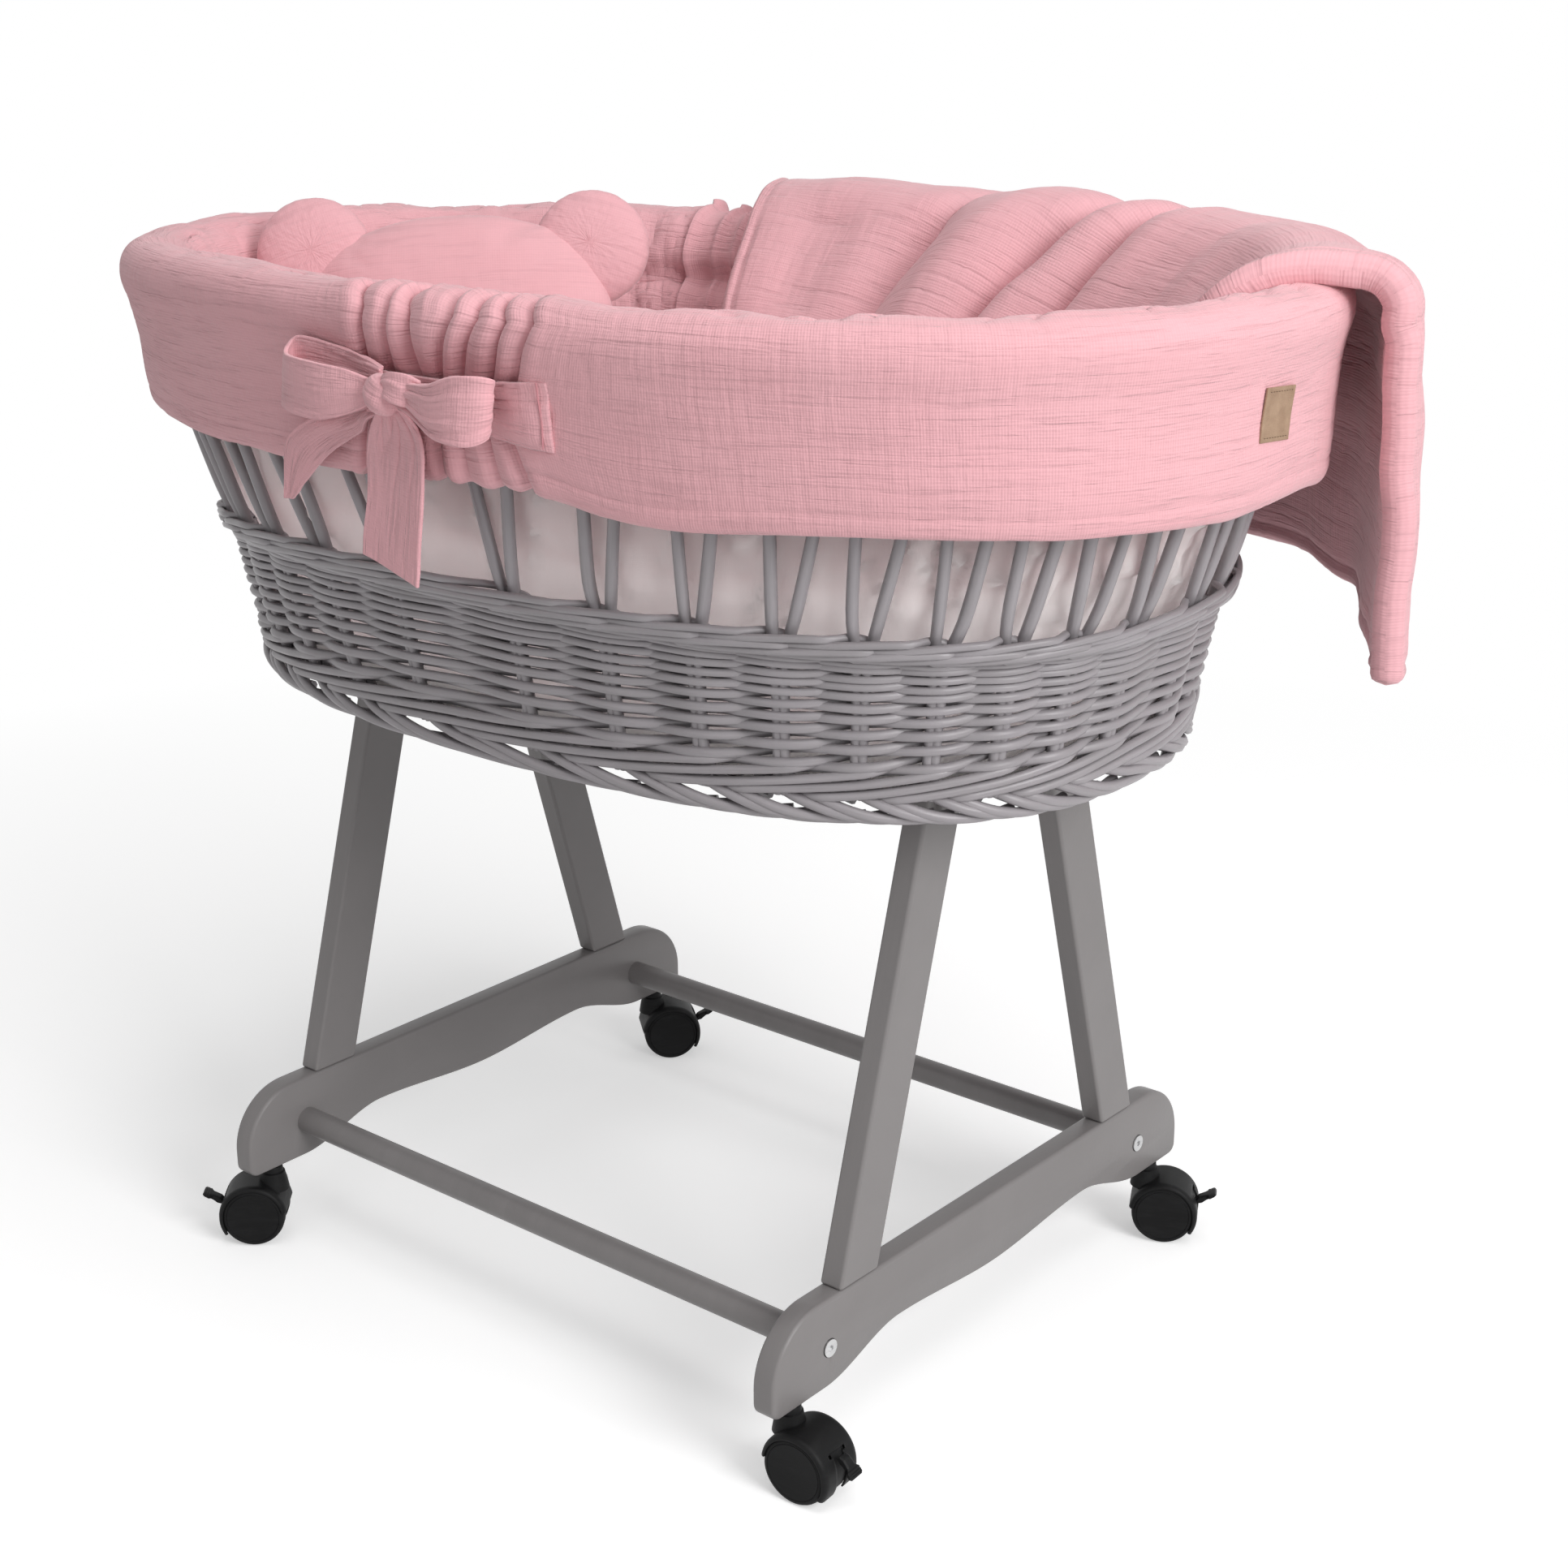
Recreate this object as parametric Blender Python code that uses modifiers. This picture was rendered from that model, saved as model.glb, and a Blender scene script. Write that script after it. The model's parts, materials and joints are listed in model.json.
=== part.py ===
"""Oval wicker bassinet with a padded fabric cover, standing on a wheeled wooden stand.

Frame: X runs along the bassinet (head end at -X), -Y is the side with the bow, +Z is up.
The origin is on the floor under the middle of the stand. All sizes are in metres.
"""
import math

import bmesh
import bpy
from mathutils import Matrix, Vector

# ---------------------------------------------------------------- driving dimensions
GAP = 0.0003                  # air between pieces that touch

# casters
WHEEL_RADIUS = 0.024
WHEEL_WIDTH = 0.0145
WHEEL_EDGE = 0.0025           # rounding of the tread's edges
WHEEL_STEPS = 20
AXLE_RADIUS = 0.003
AXLE_CLEARANCE = 0.0003
WEB_THICKNESS = 0.011         # hood's plate between the two wheels
WHEEL_PLAY = 0.0006           # side play between wheel and web
HUB_PROUD = 0.0002            # hub of the hood above the web, inside that play
HUB_RATIO = 2.2               # inner edge of the web, in radii of the axle
HUB_WALL = 0.0014             # hub outside that edge
HOOD_WALL = 0.0025
HOOD_CLEARANCE = 0.0015       # between tread and hood
HOOD_START = math.radians(-25)
HOOD_END = math.radians(168)
CASTER_TRAIL = 0.015          # axle behind the stem's axis
STEM_RADIUS = 0.004
STEM_CLEARANCE = 0.0003
STEM_DEPTH = 0.028            # stem inside the rail
BOSS_RADIUS = 0.0085
BOSS_RISE = 0.004             # boss above the hood
NECK = 0.0055                 # bare stem between boss and rail
LEVER_WIDTH = 0.013
LEVER_LENGTH = 0.016
LEVER_THICKNESS = 0.003
LEVER_BARREL = 0.0026
LEVER_PLACE = math.radians(18)   # where round the hood the lever is hinged
LEVER_UP = math.radians(32)      # released
LEVER_DOWN = math.radians(-43)   # pressed, brake on

# stand
RAIL_SPAN = 0.500             # between the inner faces of the two side rails
RAIL_THICKNESS = 0.018
RAIL_LENGTH = 0.486
RAIL_DEPTH = 0.0645           # at the feet
RAIL_NOSE = 0.046             # radius of the rounded upper ends
FOOT_LENGTH = 0.054
FOOT_CORNER = 0.008
ARCH_RISE = 0.018             # underside beside the feet, above the foot soles
ARCH_PLACE = 0.112
BELLY_RISE = 0.0105           # underside at mid length, above the foot soles
EDGE_ROUNDING = 0.0025
LEG_WIDTH = 0.040
LEG_SPREAD = 0.175            # outer edge of a leg at the rail, from the middle
LEG_LEAN = 0.28               # sideways run for each unit of height
SEAT_HEIGHT = 0.449           # underside of the basket
TOP_RAIL_HEIGHT = 0.022
TOP_RAIL_WIDTH = 0.030
TOP_RAIL_OVERHANG = 0.014
DOWEL_RADIUS = 0.010
DOWEL_PLACE = 0.186
DOWEL_RISE = 0.029            # dowel's axis above the foot soles
SCREW_RADIUS = 0.003
SCREW_LENGTH = 0.050
SCREW_HEAD_RADIUS = 0.0062
SCREW_HEAD_HEIGHT = 0.0034
SCREW_RECESS = 0.0026
SCREW_SOCKET_RADIUS = 0.0024
SCREW_CLEARANCE = 0.0004

# basket
OVAL_POWER = 2.5              # 2 is an ellipse, larger is fuller at the corners
OVAL_STEPS = 44
FOOT_OVAL = (0.363, 0.223)    # half length and half width of the outer faces
WAIST_OVAL = (0.3845, 0.2438)
RIM_OVAL = (0.440, 0.268)
WAIST_RISE = 0.110            # heights above the basket's underside
RIM_RISE = 0.286
FOOT_BORDER_HEIGHT = 0.018
FOOT_BORDER_WIDTH = 0.014
WALL_THICKNESS = 0.010
WAIST_BAND_HEIGHT = 0.014
WAIST_BAND_PROUD = 0.003
STAKE_PAIRS = 36
STAKE_RADIUS = 0.0034
STAKE_FOOT_SPACING = 0.009    # between the two stakes of a pair, at the waist
STAKE_HEAD_SPACING = 0.036    # and at the rim
STAKE_PROBE = 0.01            # angle over which the oval's run is measured
STAKE_SIDES = 5
TOP_BORDER_HEIGHT = 0.012
BASE_THICKNESS = 0.010

# bedding and covers
LINING_THICKNESS = 0.003
LINING_TOP_RISE = 0.250
LINING_CLEARANCE = 0.001
MATTRESS_THICKNESS = 0.040
MATTRESS_CLEARANCE = 0.003
COVER_HEM_OVAL = (0.453, 0.270)
COVER_ROLL_OVAL = (0.460, 0.289)
COVER_HEM_RISE = 0.188
COVER_THICKNESS = 0.007
COVER_CREST_RISE = 0.306
COVER_SHOULDER = 0.006        # how far the shoulders lie below the crest
INNER_SKIRT_HEM_RISE = 0.150
INNER_SKIRT_THICKNESS = 0.011
FRONT_GATHER = (-0.014, 0.124)    # from X to X on the side with the bow
BACK_GATHER = (-0.200, -0.060)
ROLL_HOLLOW_RISE = 0.002      # roof of the roll's hollow, above the rim
ROLL_HOLLOW_DROP = 0.010      # and where its walls begin, below the rim
ROLL_ROUNDING = 0.003
CREST_INSET = 0.004           # crest inside the rim's outer face
INNER_SHOULDER = 0.006
SHOULDER_SHARE = 0.3          # place of the outer shoulder from the roll to the rim
GATHER_RECESS = 0.003
GATHER_JOINT = 0.001

PILLOW_CENTRE = (-0.232, 0.006)
PILLOW_TURN = math.radians(40)
PILLOW_LEAN = math.radians(20)
PILLOW_HALF_WIDTH = 0.122
PILLOW_HALF_HEIGHT = 0.118
PILLOW_HALF_DEPTH = 0.042
PILLOW_BASE_CLEARANCE = 0.004
EAR_RADIUS = 0.042
EAR_DEPTH = 0.026
EAR_SPREAD = 0.105
EAR_LIFT = 0.098

QUILT_ARC = (math.radians(17), math.radians(104))
QUILT_STANDOFF = 0.0065       # between the cover and the hanging part
QUILT_THICKNESS = 0.020
QUILT_OVER_THICKNESS = 0.022  # folded layers on the rim
QUILT_DROP = 0.235            # hanging part below the rim's roll
QUILT_REACH = 0.150           # inside the basket, below the rim's roll
QUILT_UNDER_CLEARANCE = 0.003  # above the cover's crest
QUILT_SKIRT_CLEARANCE = 0.005  # from the cover's inner face
QUILT_CORNER = (0.030, 0.020)  # outer corner's start below and end above the roll
QUILT_CORNER_ROUNDING = 0.012
QUILT_NEAR_ROUNDING = 0.006
QUILT_TOP_OUTSIDE = 0.020     # upper face's edge outside the rim
QUILT_TOP_INSIDE = 0.040      # and inside it
QUILT_TOP_FALL = 0.004        # how far the inner edge of the upper face lies lower
QUILT_UNDER_EDGES = (0.014, 0.029)    # the same edges of the lower face
QUILT_INSIDE_BEND = 0.020     # bend below the roll, on the inside
QUILT_INSIDE_THICKNESS = (0.035, 0.070)   # folds inside, at the bend and at the bottom

BOW_X = 0.020
BOW_Z_DROP = 0.0375           # bow's knot below the rim's roll
BOW_BAND_HEIGHT = 0.040
BOW_BAND_ENDS = (-0.100, 0.143)
BOW_BAND_THICKNESS = 0.002
BOW_CLEARANCE = 0.001
BOW_TAIL_THICKNESS = 0.004
BOW_LOOP_DEPTH = 0.022
BOW_LOOP_SIZE = (0.039, 0.022)
BOW_LOOP_TILT = 0.002         # left loop above and right loop below the knot
BOW_LOOP_SIDES = 16
# tails: start and end from the knot in X and Z, then the width at each
LEFT_TAIL = ((-0.016, -0.008), (-0.090, -0.066), 0.014, 0.034)
RIGHT_TAIL = ((0.008, -0.016), (-0.006, -0.110), 0.018, 0.046)
TAIL_SLANT = 0.35             # of the end's width
KNOT_RADII = (0.0115, 0.0112, 0.0145)
LABEL_WIDTH = 0.033
LABEL_HEIGHT = 0.032
LABEL_THICKNESS = 0.0014
LABEL_Y = -0.008
LABEL_DROP = 0.043            # label's middle below the rim's roll

# ---------------------------------------------------------------- derived heights
HOOD_RADIUS = WHEEL_RADIUS + HOOD_CLEARANCE + HOOD_WALL
BOSS_TOP = WHEEL_RADIUS + HOOD_RADIUS + BOSS_RISE
SOLE = BOSS_TOP + NECK
RAIL_TOP = SOLE + RAIL_DEPTH
DOWEL_Z = SOLE + DOWEL_RISE
RAIL_X = (RAIL_SPAN + RAIL_THICKNESS) / 2
CASTER_Y = RAIL_LENGTH / 2 - FOOT_LENGTH / 2
LEG_BOTTOM = RAIL_TOP + GAP
LEG_TOP = SEAT_HEIGHT - TOP_RAIL_HEIGHT - 2 * GAP
WAIST_Z = SEAT_HEIGHT + WAIST_RISE
RIM_Z = SEAT_HEIGHT + RIM_RISE
CREST_Z = SEAT_HEIGHT + COVER_CREST_RISE
LINING_INSET = FOOT_BORDER_WIDTH + LINING_CLEARANCE
SKIRT_INSET = LINING_INSET + LINING_THICKNESS + LINING_CLEARANCE
BOW_Z = RIM_Z - BOW_Z_DROP
HUB_DISTANCE = WEB_THICKNESS / 2 + WHEEL_PLAY

# corner name, side of X, side of Y, heading of the trail, lever pressed
CASTERS = (
    ("front_left", -1, -1, math.radians(222), False),
    ("back_left", -1, 1, math.radians(50), False),
    ("front_right", 1, -1, math.radians(4), True),
    ("back_right", 1, 1, math.radians(28), False),
)


# ---------------------------------------------------------------- scene and materials
def clear_scene():
    for obj in list(bpy.data.objects):
        bpy.data.objects.remove(obj, do_unlink=True)


def new_collection(name):
    collection = bpy.data.collections.new(name)
    bpy.context.scene.collection.children.link(collection)
    return collection


def new_material(name, colour, roughness, metallic=0.0):
    material = bpy.data.materials.new(name)
    material.use_nodes = True
    shader = material.node_tree.nodes["Principled BSDF"]
    shader.inputs["Base Color"].default_value = (*colour, 1.0)
    shader.inputs["Roughness"].default_value = roughness
    shader.inputs["Metallic"].default_value = metallic
    return material


clear_scene()
PARTS = new_collection("bassinet_on_stand")
CUTTERS = new_collection("cutters")

PAINTED_WOOD = new_material("painted_wood", (0.21, 0.19, 0.185), 0.45)
PAINTED_WICKER = new_material("painted_wicker", (0.24, 0.22, 0.23), 0.40)
BLACK_PLASTIC = new_material("black_plastic", (0.012, 0.012, 0.013), 0.50)
STEEL = new_material("steel", (0.60, 0.60, 0.60), 0.35, 1.0)
PINK_MUSLIN = new_material("pink_muslin", (0.75, 0.36, 0.38), 0.95)
WHITE_COTTON = new_material("white_cotton", (0.85, 0.82, 0.82), 0.90)
TAN_LEATHER = new_material("tan_leather", (0.38, 0.24, 0.13), 0.60)


# ---------------------------------------------------------------- making objects
def add_mesh(name, mesh, material, parent=None):
    obj = bpy.data.objects.new(name, mesh)
    PARTS.objects.link(obj)
    if material:
        mesh.materials.append(material)
    obj.parent = parent
    return obj


def finish_bmesh(name, shape, material, parent=None, smooth=False):
    bmesh.ops.recalc_face_normals(shape, faces=shape.faces)
    mesh = bpy.data.meshes.new(name)
    shape.to_mesh(mesh)
    shape.free()
    if smooth:
        mesh.shade_smooth()
        mesh.set_sharp_from_angle(angle=math.radians(40))
    return add_mesh(name, mesh, material, parent)


def as_cutter(obj):
    """Takes an object out of the parts: it only shapes another one."""
    PARTS.objects.unlink(obj)
    CUTTERS.objects.link(obj)
    obj.hide_render = True
    obj.display_type = "WIRE"
    return obj


def add_boolean(target, other, operation):
    modifier = target.modifiers.new(operation.lower(), "BOOLEAN")
    modifier.operation = operation
    modifier.solver = "EXACT"
    modifier.object = as_cutter(other)


def add_bevel(obj, width, segments=1):
    modifier = obj.modifiers.new("rounded_edges", "BEVEL")
    modifier.width = width
    modifier.segments = segments
    modifier.limit_method = "ANGLE"
    modifier.angle_limit = math.radians(40)


def add_box(name, size, centre, material, parent=None):
    shape = bmesh.new()
    placed = Matrix.Translation(centre) @ Matrix.Diagonal((*size, 1.0))
    bmesh.ops.create_cube(shape, size=1.0, matrix=placed)
    return finish_bmesh(name, shape, material, parent)


def add_cylinder(name, radius, start, end, material, sides=16, parent=None):
    start, end = Vector(start), Vector(end)
    along = end - start
    turn = along.to_track_quat("Z", "Y").to_matrix().to_4x4()
    shape = bmesh.new()
    bmesh.ops.create_cone(
        shape, cap_ends=True, segments=sides, radius1=radius, radius2=radius,
        depth=along.length, matrix=Matrix.Translation((start + end) / 2) @ turn)
    return finish_bmesh(name, shape, material, parent, smooth=True)


def add_ellipsoid(name, radii, placed, material, rings=8, segments=12):
    shape = bmesh.new()
    bmesh.ops.create_uvsphere(
        shape, u_segments=segments, v_segments=rings, radius=1.0,
        matrix=placed @ Matrix.Diagonal((*radii, 1.0)))
    return finish_bmesh(name, shape, material, smooth=True)


def add_flat_outline(name, points, thickness, placed, material, parent=None):
    """A filled 2D outline, extruded to both sides and placed by a matrix."""
    curve = bpy.data.curves.new(name, "CURVE")
    curve.dimensions = "2D"
    curve.fill_mode = "BOTH"
    curve.extrude = thickness / 2
    spline = curve.splines.new("POLY")
    spline.points.add(len(points) - 1)
    for point, (x, y) in zip(spline.points, points):
        point.co = (x, y, 0.0, 1.0)
    spline.use_cyclic_u = True
    guide = bpy.data.objects.new(name + "_outline", curve)
    PARTS.objects.link(guide)
    evaluated = guide.evaluated_get(bpy.context.evaluated_depsgraph_get())
    flat = bpy.data.meshes.new_from_object(evaluated)
    bpy.data.objects.remove(guide, do_unlink=True)
    bpy.data.curves.remove(curve)
    shape = bmesh.new()
    shape.from_mesh(flat)
    bpy.data.meshes.remove(flat)
    bmesh.ops.remove_doubles(shape, verts=shape.verts, dist=1e-6)
    bmesh.ops.transform(shape, matrix=placed, verts=shape.verts)
    return finish_bmesh(name, shape, material, parent)


def add_turned(name, profile, steps, material, parent=None, location=(0, 0, 0), turn=None):
    """A profile of (radius, height) points down the outer side, turned about Z."""
    mesh = bpy.data.meshes.new(name)
    edges = [(i, i + 1) for i in range(len(profile) - 1)]
    mesh.from_pydata([(r, 0.0, h) for r, h in profile], edges, [])
    obj = add_mesh(name, mesh, material, parent)
    obj.location = location
    if turn:
        obj.rotation_euler = turn
    modifier = obj.modifiers.new("turned", "SCREW")
    modifier.steps = steps
    modifier.render_steps = steps
    modifier.use_merge_vertices = True
    modifier.merge_threshold = 0.00005
    return obj


# ---------------------------------------------------------------- oval shapes
def oval_point(oval, angle):
    """A point of the rounded oval with the given half length and half width."""
    c, s = math.cos(angle), math.sin(angle)
    x = math.copysign(abs(c) ** (2 / OVAL_POWER), c) * oval[0]
    y = math.copysign(abs(s) ** (2 / OVAL_POWER), s) * oval[1]
    return x, y


def oval_angle(oval, x, side):
    """The angle at which the oval passes X on the front (-1) or back (+1) side."""
    c = math.copysign((abs(x) / oval[0]) ** (OVAL_POWER / 2), x)
    return side * math.acos(c)


def grown(oval, amount):
    return oval[0] + amount, oval[1] + amount


def between(low, high, share):
    return tuple(a + (b - a) * share for a, b in zip(low, high))


def wicker_oval(z, grow=0.0):
    """Outer face of the wickerwork at a height: it flares to the waist, then to the rim."""
    if z <= WAIST_Z:
        share = (z - SEAT_HEIGHT) / WAIST_RISE
        return grown(between(FOOT_OVAL, WAIST_OVAL, share), grow)
    share = (z - WAIST_Z) / (RIM_Z - WAIST_Z)
    return grown(between(WAIST_OVAL, RIM_OVAL, share), grow)


def cover_oval(z, grow=0.0):
    """Outer face of the cover between its hem and its roll."""
    hem_z = SEAT_HEIGHT + COVER_HEM_RISE
    share = (z - hem_z) / (RIM_Z - hem_z)
    return grown(between(COVER_HEM_OVAL, COVER_ROLL_OVAL, share), grow)


def facet_angles(arc):
    """Every band and plate shares one set of facets, so that nested pieces stay parallel."""
    step = 2 * math.pi / OVAL_STEPS
    if arc is None:
        return [i * step for i in range(OVAL_STEPS)]
    start, end = arc
    first, last = math.ceil(start / step + 0.1), math.floor(end / step - 0.1)
    return [start] + [i * step for i in range(first, last + 1)] + [end]


def add_oval_band(name, outer, inner, material, arc=None, floor=False):
    """A band that follows the oval. Its section lies between two rows of (oval, z) points.

    Without an arc it goes all the way round. With floor its first edge is closed across.
    """
    closed = arc is None
    angles = facet_angles(arc)
    count = len(angles)
    shape = bmesh.new()
    rows = []
    for angle in angles:
        section = [
            [shape.verts.new((*oval_point(oval, angle), z)) for oval, z in side]
            for side in (outer, inner)]
        rows.append(section)
    last = len(outer) - 1
    for i in range(count if closed else count - 1):
        (out_a, in_a), (out_b, in_b) = rows[i], rows[(i + 1) % count]
        for k in range(last):
            shape.faces.new((out_a[k], out_b[k], out_b[k + 1], out_a[k + 1]))
            shape.faces.new((in_a[k], in_a[k + 1], in_b[k + 1], in_b[k]))
        shape.faces.new((out_a[last], out_b[last], in_b[last], in_a[last]))
        if not floor:
            shape.faces.new((out_a[0], in_a[0], in_b[0], out_b[0]))
    if floor:
        shape.faces.new([out[0] for out, _ in rows])
        shape.faces.new([ins[0] for _, ins in rows])
    if not closed:
        for out, ins in (rows[0], rows[-1]):
            for k in range(last):
                shape.faces.new((out[k], out[k + 1], ins[k + 1], ins[k]))
    return finish_bmesh(name, shape, material, smooth=True)


def add_oval_plate(name, oval, z_low, z_high, material):
    points = [oval_point(oval, 2 * math.pi * i / OVAL_STEPS) for i in range(OVAL_STEPS)]
    placed = Matrix.Translation((0, 0, (z_low + z_high) / 2))
    return add_flat_outline(name, points, z_high - z_low, placed, material)


# ---------------------------------------------------------------- stand
def smooth_step(share):
    return share * share * (3 - 2 * share)


def rail_half_outline():
    """Side rail seen from the end of the bassinet, from mid length to the far end."""
    half = RAIL_LENGTH / 2
    points = [(0.0, RAIL_TOP)]
    for i in range(9):
        a = math.pi / 2 * (1 - i / 8)
        points.append((half - RAIL_NOSE + RAIL_NOSE * math.cos(a),
                       RAIL_TOP - RAIL_NOSE + RAIL_NOSE * math.sin(a)))
    for i in range(4):
        a = math.pi / 2 * i / 3
        points.append((half - FOOT_CORNER + FOOT_CORNER * math.cos(a),
                       SOLE + FOOT_CORNER - FOOT_CORNER * math.sin(a)))
    toe = half - FOOT_LENGTH
    for i in range(8):
        share = i / 7
        points.append((toe + (ARCH_PLACE - toe) * share, SOLE + ARCH_RISE * smooth_step(share)))
    for i in range(1, 7):
        share = i / 6
        rise = ARCH_RISE + (BELLY_RISE - ARCH_RISE) * smooth_step(share)
        points.append((ARCH_PLACE * (1 - share), SOLE + rise))
    return points


def add_side_rail(name, side):
    right = rail_half_outline()
    left = [(-y, z) for y, z in reversed(right[1:-1])]
    upright = Matrix(((0, 0, 1, side * RAIL_X), (1, 0, 0, 0), (0, 1, 0, 0), (0, 0, 0, 1)))
    rail = add_flat_outline(name, right + left, RAIL_THICKNESS, upright, PAINTED_WOOD)
    add_bevel(rail, EDGE_ROUNDING)
    outer = side * (RAIL_X + RAIL_THICKNESS / 2)
    inner = side * (RAIL_X - RAIL_THICKNESS / 2)
    over = side * 0.005
    for end in (-1, 1):
        y = end * DOWEL_PLACE
        add_boolean(rail, add_cylinder(
            name + "_screw_hole", SCREW_RADIUS + SCREW_CLEARANCE,
            (inner - over, y, DOWEL_Z), (outer + over, y, DOWEL_Z), None, 12), "DIFFERENCE")
        add_boolean(rail, add_cylinder(
            name + "_recess", SCREW_HEAD_RADIUS + SCREW_CLEARANCE,
            (outer - side * SCREW_RECESS, y, DOWEL_Z), (outer + over, y, DOWEL_Z), None, 20),
            "DIFFERENCE")
        stem = (side * RAIL_X, end * CASTER_Y)
        add_boolean(rail, add_cylinder(
            name + "_stem_hole", STEM_RADIUS + STEM_CLEARANCE,
            (*stem, SOLE - abs(over)), (*stem, SOLE + STEM_DEPTH + GAP), None, 12), "DIFFERENCE")


def add_leg(name, side, end):
    """A straight board that leans in along Y and is cut level at both ends."""
    height = LEG_TOP - LEG_BOTTOM
    leg = add_box(name, (RAIL_THICKNESS, LEG_WIDTH, height),
                  (side * RAIL_X, 0, LEG_BOTTOM + height / 2), PAINTED_WOOD)
    for vertex in leg.data.vertices:
        run = LEG_LEAN * (vertex.co.z - LEG_BOTTOM)
        vertex.co.y += end * (LEG_SPREAD - LEG_WIDTH / 2 - run)
    add_bevel(leg, EDGE_ROUNDING)


def add_top_rail(name, side):
    half = LEG_SPREAD - LEG_LEAN * (LEG_TOP - LEG_BOTTOM) + TOP_RAIL_OVERHANG
    rail = add_box(name, (TOP_RAIL_WIDTH, 2 * half, TOP_RAIL_HEIGHT),
                   (side * RAIL_X, 0, LEG_TOP + GAP + TOP_RAIL_HEIGHT / 2), PAINTED_WOOD)
    add_bevel(rail, EDGE_ROUNDING)


def add_dowel(name, end):
    y = end * DOWEL_PLACE
    half = RAIL_SPAN / 2 - GAP
    dowel = add_cylinder(name, DOWEL_RADIUS, (-half, y, DOWEL_Z), (half, y, DOWEL_Z),
                         PAINTED_WOOD, 24)
    reach = SCREW_LENGTH - RAIL_THICKNESS
    for side in (-1, 1):
        add_boolean(dowel, add_cylinder(
            name + "_pilot", SCREW_RADIUS + SCREW_CLEARANCE,
            (side * (half + 0.005), y, DOWEL_Z),
            (side * (half - reach - GAP), y, DOWEL_Z), None, 12), "DIFFERENCE")


def add_dowel_screw(name, side, end):
    """Hexagon-socket screw through the rail into the dowel's end."""
    y = end * DOWEL_PLACE
    seat = side * (RAIL_X + RAIL_THICKNESS / 2 - SCREW_RECESS + GAP)
    head = seat + side * SCREW_HEAD_HEIGHT
    screw = add_cylinder(name, SCREW_HEAD_RADIUS, (seat, y, DOWEL_Z), (head, y, DOWEL_Z), STEEL, 20)
    tip = side * (RAIL_X + RAIL_THICKNESS / 2 - SCREW_LENGTH + GAP)
    shank = add_cylinder(name + "_shank", SCREW_RADIUS, (seat + side * 0.001, y, DOWEL_Z),
                         (tip, y, DOWEL_Z), None, 12)
    socket = add_cylinder(name + "_socket", SCREW_SOCKET_RADIUS,
                          (head - side * 0.0018, y, DOWEL_Z), (head + side * 0.002, y, DOWEL_Z),
                          None, 6)
    add_boolean(screw, shank, "UNION")
    add_boolean(screw, socket, "DIFFERENCE")


def add_stand():
    for label, side in (("left", -1), ("right", 1)):
        add_side_rail(label + "_rail", side)
        add_top_rail(label + "_top_rail", side)
        for place, end in (("front", -1), ("back", 1)):
            add_leg("leg_%s_%s" % (place, label), side, end)
            add_dowel_screw("screw_%s_%s" % (place, label), side, end)
    add_dowel("front_dowel", -1)
    add_dowel("back_dowel", 1)


# ---------------------------------------------------------------- casters
def add_pivot(name, location, parent=None, heading=0.0):
    pivot = bpy.data.objects.new(name, None)
    PARTS.objects.link(pivot)
    pivot.location = location
    pivot.rotation_euler = (0, 0, heading)
    pivot.parent = parent
    return pivot


def hood_outline(inner, outer):
    """Band round the wheels, in the plane (trail, up) with the axle at the centre."""
    steps = 14
    angles = [HOOD_START + (HOOD_END - HOOD_START) * i / steps for i in range(steps + 1)]
    outside = [(outer * math.cos(a), outer * math.sin(a)) for a in angles]
    inside = [(inner * math.cos(a), inner * math.sin(a)) for a in reversed(angles)]
    return outside + inside


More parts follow.
